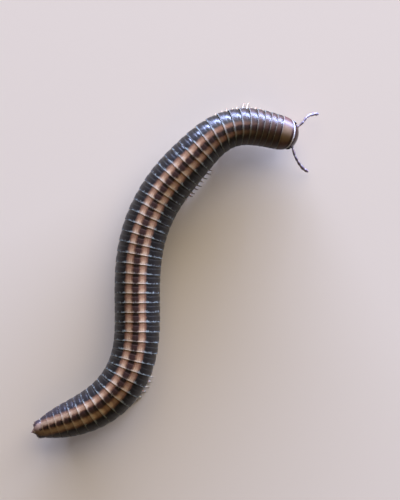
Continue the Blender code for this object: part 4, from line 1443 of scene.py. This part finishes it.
# Thin horny cuticle: grey violet and dull, paler where two joints meet, under a down of hairs
FEELER_CUTICLE = mottled_cuticle(
    "feeler_horn_grey", FEELER_COLOURS, 0.06 * MM, 4.0, (0.6, 0.7), (0.2, 0.36), (0.35, 0.004 * MM),
    "joint", IOR=1.5, Subsurface_Weight=0.15, Subsurface_Scale=0.08 * MM,
)
draw = random.Random(23)
for word, side, knots in (("left", 1, FEELER_LEFT), ("right", -1, FEELER_RIGHT)):
    tip, forward, left, _ = frame_at(BODY_LENGTH, level=True)
    point, outward, _, _ = surface_frame(side * radians(SOCKET_TURN), SOCKET_LEVEL)
    way = [point - outward * FEELER_ROOT_DEPTH]
    for ahead, out, height in knots:
        way.append(Vector((tip.x, tip.y, height)) + forward * ahead + left * (side * out))
    chain, hairs, start = [], [], 0.0
    for end, radius in FEELER_JOINTS:
        near, far = curve_through(way, start), curve_through(way, end)
        along = (far - near).normalized()
        for share, form in FEELER_FORM:
            chain.append((near.lerp(far, share), radius * form, share))
        for _ in range(int(FEELER_HAIRS * (end - start))):
            share = draw.uniform(*FEELER_HAIR_PLACES)
            across = Vector([draw.gauss(0, 1) for _ in range(3)]).cross(along).normalized()
            root = near.lerp(far, share) + across * (radius * FEELER_HAIR_ROOT)
            direction = (across * FEELER_HAIR_LIFT + along).normalized()
            hairs.append(hair(root, direction, FEELER_HAIR_LENGTH))
        start = end
    end = curve_through(way, 1.0)
    chain.append((near.lerp(end, FEELER_TIP[0]), FEELER_TIP[1], 1.0))
    name, node = f"feeler_{word}", f"antenna_{word}"
    strands(name, [chain], FEELER_SIDES, FEELER_CUTICLE, "antenna_cuticle", node, joint=True)
    across = along.cross(Vector((0.0, 0.0, 1.0))).normalized()
    over = across.cross(along)
    for i in range(PEGS):
        turn = pi * (i + 0.5) / 2
        peg = far + (across * cos(turn) + over * sin(turn)) * PEG_SPREAD * MM
        hairs.append([(peg, PEG_RADIUS), (peg + along * PEG_LENGTH * MM, PEG_TAPER * PEG_RADIUS)])
    strands(f"feeler_hairs_{word}", hairs, HAIR_SIDES, HAIR_HORN, "antenna_cuticle")


# Jaws: the broad outer plates of the biting jaws, which form the cheeks under the eyes and tuck in
# under the lobes of the collar plate. A seam parts each into a small rear and a large front plate.
JAW_CENTRE = (-0.04 * MM, 0.76 * MM, -0.50 * MM)
JAW_HALF_SIZES = (0.62 * MM, 0.44 * MM, 0.52 * MM)
JAW_SEAM = (-0.34, 0.05, 0.045)
JAW_SEAM_SLANT = 0.2
JAW_FLATNESS = (0.72, 0.10)
JAW_FULLNESS = 0.80
# Where the jaws may lie along the body, the room between them and the plate, and how far in front of
# the plate its cover begins and over what length it becomes full
TUCK_PLACES = (33.0 * MM, 35.9 * MM)
TUCK_ROOM = 0.03 * MM
TUCK_START = (0.16 * MM, 0.20 * MM)
# Hard cuticle: red brown and satin
JAW_CUTICLE = plain_cuticle("jaw_cuticle_satin", "643c27", "402417", 0.16 * MM, 0.30, 0.004 * MM)


def tucked(point):
    """Moves a point of a cheek in under the collar plate, where the plate covers it."""
    middle, ahead = head_axes()[:2]
    place = HEAD_PLACE + (point - middle).dot(ahead)
    place = min(max(place, TUCK_PLACES[0]), TUCK_PLACES[1])
    centre, _, left, up = frame_at(place)
    away = point - centre
    aside, above = away.dot(left), away.dot(up)
    turn = atan2(aside, above)
    far = hypot(aside, above)
    limit = body_radius(place) - COLLAR_WALL - TUCK_ROOM
    cover = smooth((collar_front(turn) + TUCK_START[0] - place) / TUCK_START[1])
    excess = max(0.0, far - limit) * cover
    return point - (left * aside + up * above) * (excess / max(far, 1e-9))


def cheek_form(local):
    """A broad plate with a flat outer face and full corners, parted by a seam."""
    full = Vector([copysign(abs(share) ** JAW_FULLNESS, share) for share in local])
    full.y *= JAW_FLATNESS[0] + JAW_FLATNESS[1] * local.z
    groove = exp(-(((full.x - JAW_SEAM[0] - JAW_SEAM_SLANT * full.z) / JAW_SEAM[1]) ** 2))
    return full * (1 - JAW_SEAM[2] * groove)


for word, side in BOTH_SIDES:
    centre, forward, left, up = head_axes()
    ahead, aside, above = JAW_CENTRE
    origin = centre + forward * ahead + left * (side * aside) + up * above
    loops = ball(origin, (forward, left, up), JAW_HALF_SIZES, 72, 56, cheek_form)
    loops = [[tucked(point) for point in loop] for loop in loops]
    cheek = lofted(f"cheek_{word}", loops)
    finished(f"cheek_{word}", cheek, JAW_CUTICLE, "jaw_cuticle", f"mandible_{word}")


# Lower lip: the plate that closes the mouth from below, parted by fine seams into two side plates, two
# narrow tongue plates and a base plate, with short feeler knobs at its front edge. Brown cuticle.
LIP_CENTRE = (-0.12 * MM, 0.0, -1.12 * MM)
LIP_HALF_SIZES = (0.55 * MM, 0.52 * MM, 0.30 * MM)
SIDE_SEAM = 0.40
LIP_SEAM_WIDTH = 0.035
LIP_SEAM_DEPTH = 0.05
BASE_PLATE_FRONT = -0.05
BASE_PLATE_SLANT = 0.6
KNOB_LENGTH = 1.3
KNOBS = ((0.93, 0.42, 0.050 * MM), (0.97, 0.17, 0.036 * MM))


def plated(local):
    """Seams on the lower side: beside the base plate, and between the tongue plates in front of it."""
    if local.z > 0:
        return local
    behind = local.x - BASE_PLATE_FRONT
    side_line = SIDE_SEAM if behind > 0 else SIDE_SEAM * (1 + BASE_PLATE_SLANT * behind)
    depth = exp(-(((abs(local.y) - side_line) / LIP_SEAM_WIDTH) ** 2))
    if behind > 0:
        depth = max(depth, exp(-((local.y / LIP_SEAM_WIDTH) ** 2)))
    slant = behind + abs(local.y) * BASE_PLATE_SLANT
    if abs(local.y) < SIDE_SEAM:
        depth = max(depth, exp(-((slant / LIP_SEAM_WIDTH) ** 2)))
    return local * (1 - LIP_SEAM_DEPTH * depth)


centre, forward, left, up = head_axes()
origin = centre + forward * LIP_CENTRE[0] + up * LIP_CENTRE[2]
plates = [lofted("plates", ball(origin, (forward, left, up), LIP_HALF_SIZES, 96, 64, plated))]
for ahead, aside, radius in KNOBS:
    for side in (1, -1):
        spot = origin + forward * (ahead * LIP_HALF_SIZES[0])
        spot = spot + left * (side * aside * LIP_HALF_SIZES[1])
        sizes = (KNOB_LENGTH * radius, radius, radius)
        plates.append(lofted("knob", ball(spot, (forward, left, up), sizes, 14, 8)))
# Softer cuticle: pale brown and satin
LOWER_LIP_CUTICLE = plain_cuticle("lower_lip_cuticle", "9c7856", "6b4a33", 0.12 * MM, 0.34, 0.004 * MM)
finished("lower_lip", joined("lower_lip", plates), LOWER_LIP_CUTICLE, "jaw_cuticle", "gnathochilarium")


# Stand for the picture: a matt card for a floor and soft studio light, with a long low lamp in place of
# the open sky that gives the upper flanks their sheen. The camera looks straight down on the back.
FLOOR_HALF = 1
floor_mesh = bpy.data.meshes.new("floor")
corners = [(x * FLOOR_HALF, y * FLOOR_HALF, 0) for x, y in ((-1, -1), (1, -1), (1, 1), (-1, 1))]
floor_mesh.from_pydata(corners, [], [(0, 1, 2, 3)])
floor = placed("floor", floor_mesh)
# Matt card: no gloss at all, so that the low lamp doesn't mirror in it
floor_paint, _, floor_shader = new_cuticle("floor_card", Roughness=1.0, Specular_IOR_Level=0.0)
floor_shader.inputs["Base Color"].default_value = srgb("c6b9a2")
floor_mesh.materials.append(floor_paint)

VIEW_CENTRE = (1.919 * MM, 1.648 * MM)
VIEW_HEIGHT = 38.46 * MM
FOCUS_LEVEL = 2.3 * MM
CAMERA_DISTANCE = 185 * MM
LAMP_DISTANCE = 700 * MM
ROOM_COLOUR = "f0e4cc"
ROOM_LIGHT = 0.11
scene = bpy.context.scene
camera = placed("camera", bpy.data.cameras.new("camera"))
camera.data.sensor_fit = "VERTICAL"
camera.data.angle = 2 * atan(VIEW_HEIGHT / 2 / CAMERA_DISTANCE)
camera.data.clip_start = 1 * MM
camera.location = (*VIEW_CENTRE, FOCUS_LEVEL + CAMERA_DISTANCE)
scene.camera = camera
scene.view_settings.view_transform = "Standard"


def lamp(name, azimuth, elevation, width, height, power, code):
    """A soft area light that faces the body. Azimuth turns clockwise from +Y, seen from above."""
    data = bpy.data.lights.new(name, "AREA")
    data.shape = "RECTANGLE"
    data.size, data.size_y = width, height
    data.energy = power
    data.color = srgb(code)[:3]
    light = placed(name, data)
    a, e = radians(azimuth), radians(elevation)
    away = Vector((sin(a) * cos(e), cos(a) * cos(e), sin(e)))
    light.location = away * LAMP_DISTANCE
    light.rotation_euler = (-away).to_track_quat("-Z", "Y").to_euler()
    light.visible_camera = False


lamp("sky_high", 16, 40, 900 * MM, 620 * MM, 4.4, "fff4e2")
lamp("warm_side", 172, 50, 600 * MM, 400 * MM, 0.5, "ffdc9c")
lamp("sky_above", 17, 6, 1350 * MM, 140 * MM, 102, "b6c6ff")
world = bpy.data.worlds.new("room")
world.use_nodes = True
room = world.node_tree.nodes["Background"].inputs
room["Color"].default_value = srgb(ROOM_COLOUR)
room["Strength"].default_value = ROOM_LIGHT
scene.world = world
